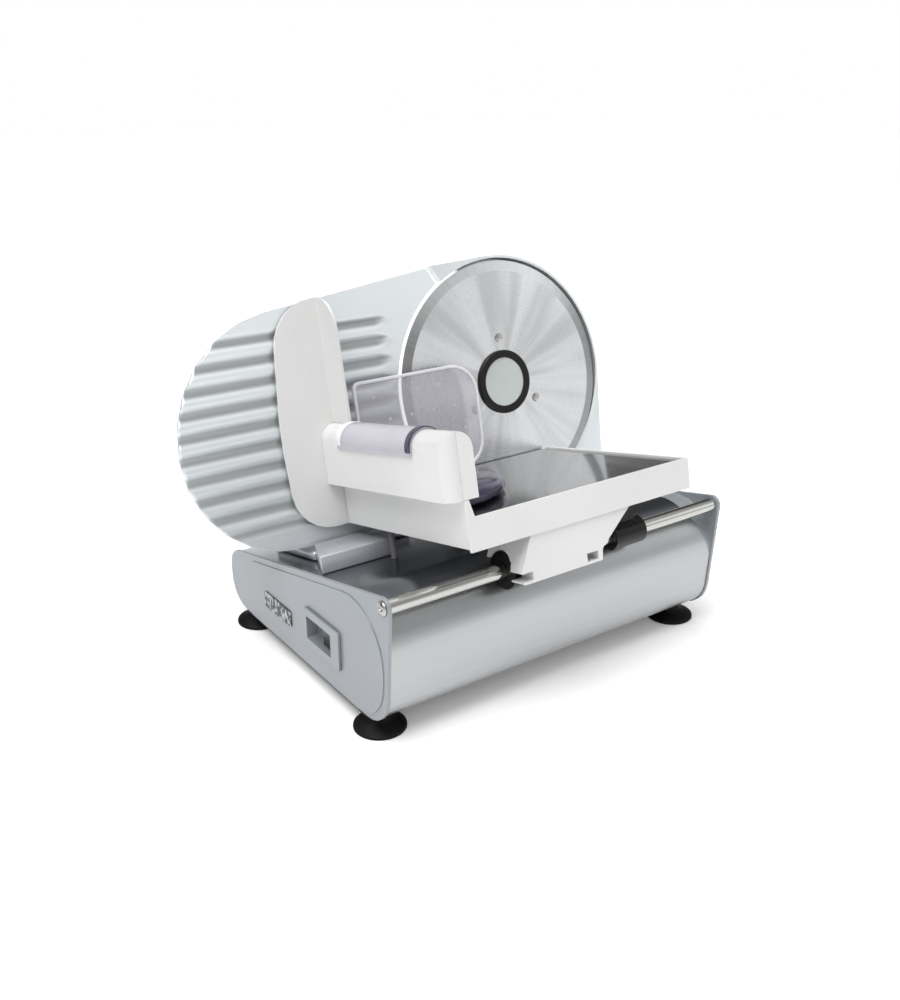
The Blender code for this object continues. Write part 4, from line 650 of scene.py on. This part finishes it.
def finish(name):
    """A finish by name, made once."""
    if name not in _finishes:
        colours = paint()
        makers = {
            "silver_paint": lambda: painted(name, colours.silver, 0.36, 0.55),
            "rib_paint": lambda: ribbed(name, colours.silver),
            "block_paint": lambda: painted(name, (0.50, 0.51, 0.55), 0.36, 0.55),
            # darker than the wrap: painted shade for the tray's dark underside reflected in the
            # deck
            "deck_shade_steel": lambda: brushed(
                name, (0.25, 0.26, 0.28), ALONG_WRAP, 0.2, 0.000004, 0.04
            ),
            "casting_paint": lambda: painted(name, colours.casting, 0.34, 0.1),
            "panel_paint": lambda: painted(name, colours.panel, 0.36, 0.35),
            "wrap_steel": lambda: brushed(
                name, (0.44, 0.45, 0.46), ALONG_WRAP, 0.34, 0.000006, 0.04
            ),
            # tray steel darker than bare steel: painted shade for the dark surroundings that it
            # reflects
            "tray_steel": lambda: brushed(
                name, (0.40, 0.40, 0.40), (60, 4, 60), 0.13, 0.000002, 0.03
            ),
            "blade_steel": lambda: ground(name, rgb(colours.steel, 0.93), blade_rim()),
            "rod_chrome": lambda: polished(name, (0.52, 0.52, 0.50), 0.12),
            "screw_chrome": lambda: polished(name, (0.46, 0.46, 0.45), 0.26),
            "motor_steel": lambda: brushed(name, (0.5, 0.5, 0.5), (300, 300, 300), 0.35),
            "hub_black": lambda: moulded(name, (0.004, 0.004, 0.004), 0.3, specular=0.3),
            "hub_silver": lambda: painted(name, (0.60, 0.64, 0.62), 0.28, 0.6),
            "switch_black": lambda: moulded(name, (0.012, 0.012, 0.014), 0.22),
            "foot_rubber": lambda: moulded(name, (0.002, 0.002, 0.002), 0.6, 0.00012, 0.2),
            "under_black": lambda: moulded(name, (0.012, 0.012, 0.014), 0.6),
            "nylon": lambda: moulded(name, (0.62, 0.61, 0.57), 0.45),
            "leg_grey": lambda: moulded(name, (0.10, 0.10, 0.105), 0.45),
            "badge_plate": lambda: printed(name, (0.50, 0.51, 0.52)),
            "smoke_clear": lambda: clear(name, colours.smoke, 0.36),
            "smoke_saddle": lambda: clear(name, colours.smoke, 0.62, 0.1),
            "smoke_dark": lambda: clear(name, (0.05, 0.045, 0.08), 0.93, 0.12),
            "smoke_rim": lambda: clear(name, (0.88, 0.88, 0.92), 0.8, 0.12),
        }
        _finishes[name] = makers[name]()
    return _finishes[name]


# ---------------------------------------------------------------- pieces
class SLICER_OT_base(bpy.types.Operator):
    """Steel wrap, end panels, feet and the plate underneath"""

    bl_idname = "slicer.base"
    bl_label = "Base"

    def execute(self, context):
        wrap = dress(sharpen(from_cad("wrap", "base_wrap", 0.0), 30), finish("wrap_steel"))
        # the upward faces get painted shade
        self.shaded_deck(wrap)
        for side in ("left", "right"):
            dress(from_cad(f"panel_{side}", f"{side}_panel", 0.0007), finish("panel_paint"))
        dress("base_cover", finish("under_black"))
        for end in ("front", "back"):
            for side in ("left", "right"):
                low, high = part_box(f"foot_{end}_{side}")
                self.foot(f"foot_{end}_{side}", low, high)
                dress(f"foot_screw_{end}_{side}", finish("screw_chrome"))
        return {"FINISHED"}

    def shaded_deck(self, wrap):
        """Faces of the wrap that look up get a darker brushed finish: painted shade standing in for
        the dark underside of the tray reflected in the deck.
        """
        wrap.data.materials.append(finish("deck_shade_steel"))
        normals = np.empty(len(wrap.data.polygons) * 3)
        wrap.data.polygons.foreach_get("normal", normals)
        upward = normals.reshape(-1, 3)[:, 2] > UPWARD
        wrap.data.polygons.foreach_set("material_index", upward.astype(np.int32))

    def foot(self, node, low, high):
        """Suction cup: (r, a) from the neck down a bell to the rim, then up inside the cup."""
        radius = (high.x - low.x) / 2
        tall = high.z
        centre = np.array(((low.x + high.x) / 2, (low.y + high.y) / 2, 0.0))
        profile = [
            (0.0026, tall),
            (0.38 * radius, tall),
            (0.40 * radius, 0.94 * tall),
            (0.41 * radius, 0.80 * tall),
            (0.50 * radius, 0.62 * tall),
            (0.72 * radius, 0.45 * tall),
            (0.92 * radius, 0.30 * tall),
            (0.985 * radius, 0.22 * tall),
            (radius, 0.14 * tall),
            (radius, 0.03 * tall),
            (0.985 * radius, 0.0),
            (0.86 * radius, 0.0),
            (0.60 * radius, 0.16 * tall),
            (0.30 * radius, 0.34 * tall),
            (0.22 * radius, 0.60 * tall),
            (0.0026, 0.60 * tall),
        ]
        foot = ring_lathe(f"cup_{node}", profile, centre, (0, 0, 1), 64)
        dress(keep(sharpen(foot, 50), node), finish("foot_rubber"))


class SLICER_OT_rod(bpy.types.Operator):
    """Polished rod that the carriage runs on, and its end screws"""

    bl_idname = "slicer.rod"
    bl_label = "Guide rod"

    def execute(self, context):
        low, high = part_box("guide_rod")
        radius = (high.z - low.z) / 2
        centre = np.array((0.0, (low.y + high.y) / 2, (low.z + high.z) / 2))
        profile = [(0, low.x), (radius - 0.0006, low.x), (radius, low.x + 0.0006)]
        profile += [(radius, high.x - 0.0006), (radius - 0.0006, high.x), (0, high.x)]
        rod = sharpen(lathe("rod", profile, centre, (1, 0, 0), 64), 30)
        dress(keep(rod, "guide_rod"), finish("rod_chrome"))
        for side in ("left", "right"):
            dress(from_cad(f"end_screw_{side}", f"rod_screw_{side}", 0.0), finish("screw_chrome"))
        return {"FINISHED"}


class SLICER_OT_blade(bpy.types.Operator):
    """Round blade, hub ring, disc and screws"""

    bl_idname = "slicer.blade"
    bl_label = "Blade"

    def execute(self, context):
        profile = turned_profile("blade", HUB, DEPTH)
        blade = sharpen(ring_lathe("blade_disc", profile, HUB, DEPTH, 192), 4)
        dress(keep(blade, "blade"), finish("blade_steel"))
        self.turned_copy("hub_collar", "hub_ring", "hub_black", 0.0006)
        self.disc()
        for index in (1, 2, 3):
            screw = from_cad(f"hub_screw_{index}", f"blade_screw_{index}", 0.0)
            dress(sharpen(screw, 30), finish("screw_chrome"))
        dress("blade_gear", finish("nylon"))
        dress("blade_axle", finish("motor_steel"))
        return {"FINISHED"}

    def disc(self):
        """Slightly crowned disc: (r, a) from the middle out to a rounded edge and back."""
        low, high = deck_box("hub_cap")
        radius = (high[0] - low[0]) / 2
        front = low[1]
        share = np.linspace(0, 1, 24)
        face = np.stack((share * (radius - DISC_EDGE), front + DISC_CROWN * share**2), axis=1)
        turn = np.linspace(0, np.pi / 2, 6)[1:]
        out = radius - DISC_EDGE + DISC_EDGE * np.sin(turn)
        deep = front + DISC_EDGE + DISC_CROWN - DISC_EDGE * np.cos(turn)
        rim = np.stack((out, deep), axis=1)
        back = np.array(((radius, high[1] - 0.001), (0.0, high[1] - 0.001)))
        piece = lathe("hub_disc", np.vstack((face, rim, back)), HUB, DEPTH, sizes().sides)
        dress(keep(sharpen(piece, 40), "hub_cap"), finish("hub_silver"))

    def turned_copy(self, name, node, material, edge):
        """Finer ring with rounded corners on the CAD node's own profile."""
        profile = turned_profile(node, HUB, DEPTH)
        profile = fillet(profile, np.minimum(edge, corner_room(profile)), 5)
        piece = sharpen(ring_lathe(name, profile, HUB, DEPTH, sizes().sides), 40)
        dress(keep(piece, node), finish(material))


def blade_rim():
    """Radius at which the blade's sharpened rim starts."""
    corners = turned_profile("blade", HUB, DEPTH)
    radii = np.unique(corners[:, 0].round(4))
    return float(radii[radii < radii.max() - 0.003].max())


def corner_room(profile):
    """Largest rounding that each corner of an outline has room for."""
    ahead = np.linalg.norm(np.roll(profile, -1, axis=0) - profile, axis=1)
    back = np.roll(ahead, 1)
    return 0.45 * np.minimum(ahead, back)


def turned_profile(node, centre, axis):
    """(r, a) corners of a turned CAD node in order, read where it crosses its own zero angle."""
    mesh = frame["nodes"][node].data
    points = cad_points(node) - centre
    along = points @ np.asarray(axis)
    side = points - along[:, None] * np.asarray(axis)[None]
    radius = np.linalg.norm(side, axis=1)
    pairs = np.stack((radius, along), axis=1).round(6)
    corners, inverse = np.unique(pairs, axis=0, return_inverse=True)
    inverse = inverse.reshape(-1)
    edges = np.empty(len(mesh.edges) * 2, int)
    mesh.edges.foreach_get("vertices", edges)
    edges = inverse[edges.reshape(-1, 2)]
    edges = np.unique(np.sort(edges[edges[:, 0] != edges[:, 1]], axis=1), axis=0)
    order = [0]
    links = {index: set() for index in range(len(corners))}
    for first, second in edges.tolist():
        links[first].add(second)
        links[second].add(first)
    while len(order) < len(corners):
        ahead = [index for index in links[order[-1]] if index not in order]
        if not ahead:
            break
        here = corners[order[-1]]
        nearest = min(ahead, key=lambda index: np.linalg.norm(corners[index] - here))
        order.append(nearest)
    return corners[order]


class SLICER_OT_housing(bpy.types.Operator):
    """Guard ring, web and motor cover behind the blade"""

    bl_idname = "slicer.housing"
    bl_label = "Housing"

    def execute(self, context):
        dress(from_cad("housing", "blade_housing", 0.0006, 3, 35), finish("silver_paint"))
        dress(from_cad("cover", "motor_cover", 0.0012, 3, 35), finish("silver_paint"))
        for node in ("motor_can", "motor_rotor", "motor_pinion"):
            dress(node, finish("motor_steel"))
        dress("motor_fan", finish("switch_black"))
        return {"FINISHED"}


class SLICER_OT_plate(bpy.types.Operator):
    """Ribbed thickness plate"""

    bl_idname = "slicer.plate"
    bl_label = "Thickness plate"

    def execute(self, context):
        low, high = deck_box("thickness_plate")
        rows, columns = PLATE_GRID
        rise = np.linspace(low[2], high[2] - 0.0002, rows)
        left, right = self.limits(rise, low, high)
        share = np.linspace(0, 1, columns)
        share = share * 0.9 + 0.1 * (1 - np.cos(np.pi * share)) / 2
        across = left[:, None] + (right - left)[:, None] * share[None]
        up = np.repeat(rise[:, None], columns, axis=1)
        radius = PLATE_ROUND
        gaps = (across - left[:, None], right[:, None] - across, up - low[2], high[2] - up)
        rim = np.minimum.reduce(gaps)
        inside = np.clip(radius - rim, 0, radius)
        round_off = radius - np.sqrt(np.clip(radius**2 - inside**2, 0, None))
        front = np.stack((across, low[1] + self.ribs(across, up) + round_off, up), axis=-1)
        back = np.stack((across, np.full_like(up, high[1]), up), axis=-1)
        plate = self.shell(front, border(back))
        dress(keep(sharpen(plate, 50), "thickness_plate"), finish("rib_paint"))
        dress(from_cad("carrier", "plate_carrier", 0.0006), finish("casting_paint"))
        return {"FINISHED"}

    def limits(self, rise, low, high):
        """Left and right edge of the plate at each height, from the corners of its flat back."""
        local = deck_points("thickness_plate")
        flat = local[local[:, 1] > high[1] - 1e-5][:, [0, 2]]
        edge = np.linalg.norm(flat, axis=1)
        bite = edge.min()
        outside = flat[edge > bite + 0.0004]
        top = outside[np.argmax(outside[:, 1])]
        curve = outside[outside[:, 0] < top[0] + 1e-6]
        curve = curve[np.argsort(curve[:, 1])]
        _, first = np.unique(curve[:, 1].round(5), return_index=True)
        left = np.interp(rise, curve[first][:, 1], curve[first][:, 0])
        arc = -np.sqrt(np.clip(bite**2 - rise**2, 0, None))
        foot = outside[outside[:, 1] < low[2] + 1e-4][:, 0].max()
        tip = flat[(edge < bite + 0.0004) & (flat[:, 1] > 0)]
        tip = tip[np.argmax(tip[:, 1])]
        right = np.minimum(arc, foot)
        cut = top[0] + (rise - top[1]) * (tip[0] - top[0]) / (tip[1] - top[1])
        right = np.where(rise > tip[1], cut, np.where(rise > 0, arc, right))
        return left, np.maximum(right, left + 0.0005)

    def ribs(self, across, up):
        """Depth below the crests: h (1 - cos(2 pi (z - z0) / p)) / 2, faded out to the right."""
        turn = TAU * (up - RIB_CREST) / RIB_PITCH
        wave = (1 - np.cos(turn)) / 2
        span = np.clip((RIB_TOP - up) / RIB_EASE, 0, 1) * np.clip((up - RIB_FOOT) / RIB_EASE, 0, 1)
        end = RIB_END - RIB_SWAY * np.cos(turn)
        fade = np.clip((end - across) / RIB_FADE, 0, 1)
        fade = fade * fade * (3 - 2 * fade)
        return sizes().rib * wave * span * fade

    def shell(self, front, rear):
        """Front grid, a strip round the edge and one flat face behind."""
        rows, columns = front.shape[:2]
        index = np.arange(rows * columns).reshape(rows, columns)
        faces = neighbours(index).tolist()
        loop = border(index)
        behind = rows * columns + np.arange(len(rear))
        strip = np.stack((loop, behind, np.roll(behind, -1), np.roll(loop, -1)), axis=-1)
        faces += strip.tolist()
        faces.append(behind.tolist())
        points = on_deck(np.concatenate((front.reshape(-1, 3), rear)))
        mesh = bpy.data.meshes.new("plate")
        mesh.from_pydata(points.tolist(), [], faces)
        return tidy_mesh("plate", mesh)


class SLICER_OT_gauge(bpy.types.Operator):
    """Tower, foot, guide block and knob that set the plate"""

    bl_idname = "slicer.gauge"
    bl_label = "Thickness gauge"

    def execute(self, context):
        for name, node, width in (
            ("tower", "gauge_tower", 0.0012),
            ("tower_foot", "gauge_foot", 0.0),
            ("block", "guide_block", 0.0),
        ):
            dress(from_cad(name, node, width), finish("block_paint"))
        dress(from_cad("knob", "thickness_knob", 0.0005), finish("switch_black"))
        return {"FINISHED"}


class SLICER_OT_carriage(bpy.types.Operator):
    """Tray frame, hand guard, food wall, bracket, bushes and steel floor"""

    bl_idname = "slicer.carriage"
    bl_label = "Carriage"

    def execute(self, context):
        edge = sizes().edge
        for name, node, width in (
            ("tray_frame", "carriage_frame", 0.8 * edge),
            ("guard", "hand_guard", edge),
            ("wall", "food_wall", 2.2 * edge),
            ("bracket", "carriage_bracket", 0.5 * edge),
        ):
            dress(from_cad(name, node, width, 4), finish("casting_paint"))
        dress(from_cad("tray_floor", "tray_plate", 0.0003), finish("tray_steel"))
        for side in ("left", "right"):
            dress(from_cad(f"slide_bush_{side}", f"bush_{side}", 0.0008), finish("hub_black"))
        dress("carriage_glide", finish("leg_grey"))
        return {"FINISHED"}


class SLICER_OT_pusher(bpy.types.Operator):
    """Smoky clear pusher: spiked plate, arm, shelf and sleeve"""

    bl_idname = "slicer.pusher"
    bl_label = "Food pusher"

    def execute(self, context):
        dress(from_cad("pusher_spikes", "pusher_plate", 0.0008), finish("smoke_clear"))
        self.spike_tips()
        self.rim()
        dress(from_cad("pusher_side", "pusher_arm", 0.0), finish("smoke_clear"))
        dress(from_cad("pusher_floor", "pusher_shelf", 0.0), finish("smoke_dark"))
        dress(from_cad("pusher_saddle", "pusher_sleeve", 0.0005), finish("smoke_saddle"))
        low, high = deck_box("pusher_sleeve")
        # dark half ring at the sleeve's front end: painted shade for the darkness seen through the
        # clear plastic's thickness
        self.end_ring("sleeve_ring", low[1] - 0.0002, 0.0008, "smoke_dark")
        # half ring at the sleeve's back end; its near-white colour is a painted highlight on the
        # clear plastic's edge
        self.end_ring("sleeve_highlight_ring", high[1] - RING_LENGTH, 0.0005, "smoke_rim")
        return {"FINISHED"}

    def spike_tips(self):
        """Small bright cones over the plate's spikes: (r, a) turned about each spike's own axis."""
        low, high = deck_box("pusher_plate")
        local = deck_points("pusher_plate")
        tips = local[local[:, 1] > high[1] - 1e-4]
        near = np.linalg.norm(tips[:, None] - tips[None], axis=2) < SPIKE_FINDER
        label = near.argmax(axis=1)
        centres = np.array([tips[label == index].mean(axis=0) for index in np.unique(label)])
        profile = np.array(((0.0, 0.0002), (0.0007, 0.0), (0.0020, -0.0030), (0.0, -0.0030)))
        turn = np.arange(SPIKE_SIDES) * TAU / SPIKE_SIDES
        ring = np.stack(
            (
                profile[:, :1] * np.cos(turn),
                high[1] + np.repeat(profile[:, 1:], len(turn), axis=1),
                profile[:, :1] * np.sin(turn),
            ),
            axis=-1,
        )
        grid = ring[None] + (centres * (1, 0, 1))[:, None, None, :]
        index = np.arange(len(profile) * len(turn)).reshape(len(profile), len(turn))
        index = np.concatenate((index, index[:, :1]), axis=1)
        first = np.arange(len(centres)) * ring[..., 0].size
        faces = (neighbours(index)[None] + first[:, None, None]).reshape(-1, 4)
        mesh = bpy.data.meshes.new("spikes")
        mesh.from_pydata(on_deck(grid.reshape(-1, 3)).tolist(), [], faces.tolist())
        dress(add_on(sharpen(tidy_mesh("spikes", mesh), 50), "pusher_plate"), finish("smoke_rim"))

    def rim(self):
        """Raised lip on the front of the pusher plate: a section swept round its outline."""
        low, _ = deck_box("pusher_plate")
        local = deck_points("pusher_plate")
        flat = np.unique(local[local[:, 1] < low[1] + 1e-5][:, [0, 2]].round(6), axis=0)
        middle = (flat.min(axis=0) + flat.max(axis=0)) / 2
        flat = flat[np.argsort(np.arctan2(flat[:, 1] - middle[1], flat[:, 0] - middle[0]))]
        ahead = np.roll(flat, -1, axis=0) - np.roll(flat, 1, axis=0)
        ahead /= np.linalg.norm(ahead, axis=1, keepdims=True)
        outward = np.stack((ahead[:, 1], -ahead[:, 0]), axis=1)
        section = fillet(
            [(-0.0026, -0.0006), (0.0002, -0.0006), (0.0002, 0.0012), (-0.0026, 0.0012)],
            [0.0005] * 4,
            4,
        )
        place = flat[:, None] + outward[:, None] * section[None, :, :1]
        deep = low[1] + np.repeat(section[None, :, 1], len(flat), axis=0)
        grid = np.stack((place[..., 0], deep, place[..., 1]), axis=-1)
        lip = skin("pusher_lip", on_deck(grid), around=True, along=True)
        dress(add_on(sharpen(lip, 50), "pusher_plate"), finish("smoke_rim"))

    def end_ring(self, name, start, proud, material):
        """Half ring at one end of the sleeve: a rounded section swept over the wall.

        Section (r, a) turned about the wall's axis from one side to the other."""
        low, high = deck_box("pusher_sleeve")
        wall_low, wall_high = deck_box("food_wall")
        centre_x = (wall_low[0] + wall_high[0]) / 2
        inner = (wall_high[0] - wall_low[0]) / 2 + 0.0004
        outer = (high[0] - low[0]) / 2
        rise = high[2] - outer
        section = fillet(
            [
                (inner, start),
                (outer + proud, start),
                (outer + proud, start + RING_LENGTH),
                (inner, start + RING_LENGTH),
            ],
            [0.0003, 0.0009, 0.0009, 0.0003],
            5,
        )
        section[:, 0] = np.where(section[:, 0] < outer - 0.0002, outer + 0.00005, section[:, 0])
        turn = np.linspace(-RING_LAP, np.pi + RING_LAP, 48)
        across = centre_x + section[None, :, 0] * np.cos(turn)[:, None]
        up = rise + section[None, :, 0] * np.sin(turn)[:, None]
        deep = np.repeat(section[None, :, 1], len(turn), axis=0)
        ring = skin(name, on_deck(np.stack((across, deep, up), axis=-1)), ends="flat")
        dress(add_on(sharpen(ring, 50), "pusher_sleeve"), finish(material))


class SLICER_OT_switch(bpy.types.Operator):
    """Switch bezel, rocker, badge and cord inlet"""

    bl_idname = "slicer.switch"
    bl_label = "Switch and badge"

    def execute(self, context):
        dress(from_cad("bezel", "switch_bezel", 0.0005), finish("panel_paint"))
        dress(from_cad("rocker", "switch_rocker", 0.0006), finish("switch_black"))
        dress(from_cad("name_plate", "badge", 0.0002), finish("badge_plate"))
        dress(from_cad("inlet", "cord_inlet", 0.0004), finish("under_black"))
        dress("switch_block", finish("under_black"))
        return {"FINISHED"}


# ---------------------------------------------------------------- stage
class SLICER_OT_stage(bpy.types.Operator):
    """Pale floor, soft lights and camera"""

    bl_idname = "slicer.stage"
    bl_label = "Stage"

    def execute(self, context):
        scene = context.scene
        reach = scene.slicer_stage.floor
        corners = np.array(((-1, -1, 0), (1, -1, 0), (1, 1, 0), (-1, 1, 0)), float)
        mesh = bpy.data.meshes.new("floor")
        mesh.from_pydata((corners * reach + (0, 0, -0.0002)).tolist(), [], [(0, 1, 2, 3)])
        floor = bpy.data.objects.new("floor", mesh)
        scene.collection.objects.link(floor)
        recipe = Recipe("floor_white", emission_strength=0.14, emission_color=(1.0, 1.0, 1.0, 1.0))
        tone = recipe.noise(recipe.place, 1.5, 2.0)
        colour = recipe.blend(tone, (0.86, 0.86, 0.86, 1.0), (0.90, 0.90, 0.90, 1.0))
        dress(floor, recipe.give(base_color=colour, roughness=0.6 + tone * 0.1))
        world = bpy.data.worlds.new("studio")
        scene.world = world
        world.use_nodes = True
        self.sky(world.node_tree)
        key = scene.slicer_stage.key
        for name, place, size, share in AREA_LIGHTS:
            self.area(name, place, size, share * key, LIGHT_AIM)
        self.sun(SUN_FROM, SUN_STRENGTH)
        scene.view_settings.view_transform = "Standard"
        self.camera(scene)
        return {"FINISHED"}

    def sky(self, world):
        """White to the eye; the light itself is pale in front, dark behind and bright above."""
        sky = Tree(world, "Generated")
        split = sky.add("ShaderNodeSeparateXYZ", {}, {0: sky.place})
        height = Wire(sky, split.socket.node.outputs[2])
        behind = Wire(sky, split.socket.node.outputs[1]).fade(-0.25, 0.45)
        front = 0.78 - height.fade(0.0, 0.45) * 0.38 + height.fade(0.5, 0.9) * 0.40
        back = 0.10 + height.fade(0.62, 0.9) * 0.75
        tone = front + (back - front) * behind
        path = sky.add("ShaderNodeLightPath", out="Is Camera Ray")
        shown = tone + (1.0 - tone) * path
        sky.feed(world.nodes["Background"].inputs["Color"], shown)

    def sun(self, towards, strength):
        """Broad even light from a direction."""
        light = bpy.data.lights.new("sun", "SUN")
        light.energy = strength
        light.angle = np.radians(SUN_ANGLE)
        lamp = bpy.data.objects.new("sun", light)
        lamp.rotation_euler = (-Vector(towards)).to_track_quat("-Z", "Y").to_euler()
        bpy.context.scene.collection.objects.link(lamp)

    def area(self, name, place, size, power, aim):
        """Square soft light that looks at a point."""
        light = bpy.data.lights.new(name, "AREA")
        light.size = size
        light.energy = power
        lamp = bpy.data.objects.new(name, light)
        lamp.location = place
        lamp.rotation_euler = (Vector(aim) - Vector(place)).to_track_quat("-Z", "Y").to_euler()
        bpy.context.scene.collection.objects.link(lamp)

    def camera(self, scene):
        """Camera to the left of the front, looking down."""
        data = bpy.data.cameras.new("camera")
        data.sensor_width = 36.0
        data.lens = CAMERA_LENS
        data.clip_start = 0.01
        yaw, pitch = np.radians(CAMERA_YAW), np.radians(CAMERA_PITCH)
        aim = Vector((-np.sin(yaw) * np.cos(pitch), np.cos(yaw) * np.cos(pitch), -np.sin(pitch)))
        camera = bpy.data.objects.new("camera", data)
        camera.location = CAMERA_PLACE
        camera.rotation_euler = aim.to_track_quat("-Z", "Y").to_euler()
        scene.collection.objects.link(camera)
        scene.camera = camera


OPERATORS = (
    SLICER_OT_base,
    SLICER_OT_rod,
    SLICER_OT_blade,
    SLICER_OT_housing,
    SLICER_OT_plate,
    SLICER_OT_gauge,
    SLICER_OT_carriage,
    SLICER_OT_pusher,
    SLICER_OT_switch,
    SLICER_OT_stage,
)


class SLICER_PT_panel(bpy.types.Panel):
    """Lists the slicer's settings and pieces"""

    bl_idname = "SLICER_PT_panel"
    bl_label = "Slicer"
    bl_space_type = "VIEW_3D"
    bl_region_type = "UI"
    bl_category = "Slicer"

    def draw(self, context):
        for group in ("slicer_paint", "slicer_sizes", "slicer_stage"):
            settings = getattr(context.scene, group)
            for name in settings.__annotations__:
                self.layout.prop(settings, name)
        for operator in OPERATORS:
            self.layout.operator(operator.bl_idname)


GROUPS = {"slicer_paint": SlicerPaint, "slicer_sizes": SlicerSizes, "slicer_stage": SlicerStage}
CLASSES = (*GROUPS.values(), *OPERATORS, SLICER_PT_panel)


def register():
    """Registers every class and hangs the settings on the scene."""
    for item in CLASSES:
        bpy.utils.register_class(item)
    for name, group in GROUPS.items():
        setattr(bpy.types.Scene, name, PointerProperty(type=group))


def unregister():
    """Takes them off again."""
    for name in GROUPS:
        delattr(bpy.types.Scene, name)
    for item in reversed(CLASSES):
        bpy.utils.unregister_class(item)


def main():
    """Makes every piece in order."""
    register()
    for operator in OPERATORS:
        group, name = operator.bl_idname.split(".")
        getattr(getattr(bpy.ops, group), name)()


if __name__ == "__main__":
    main()
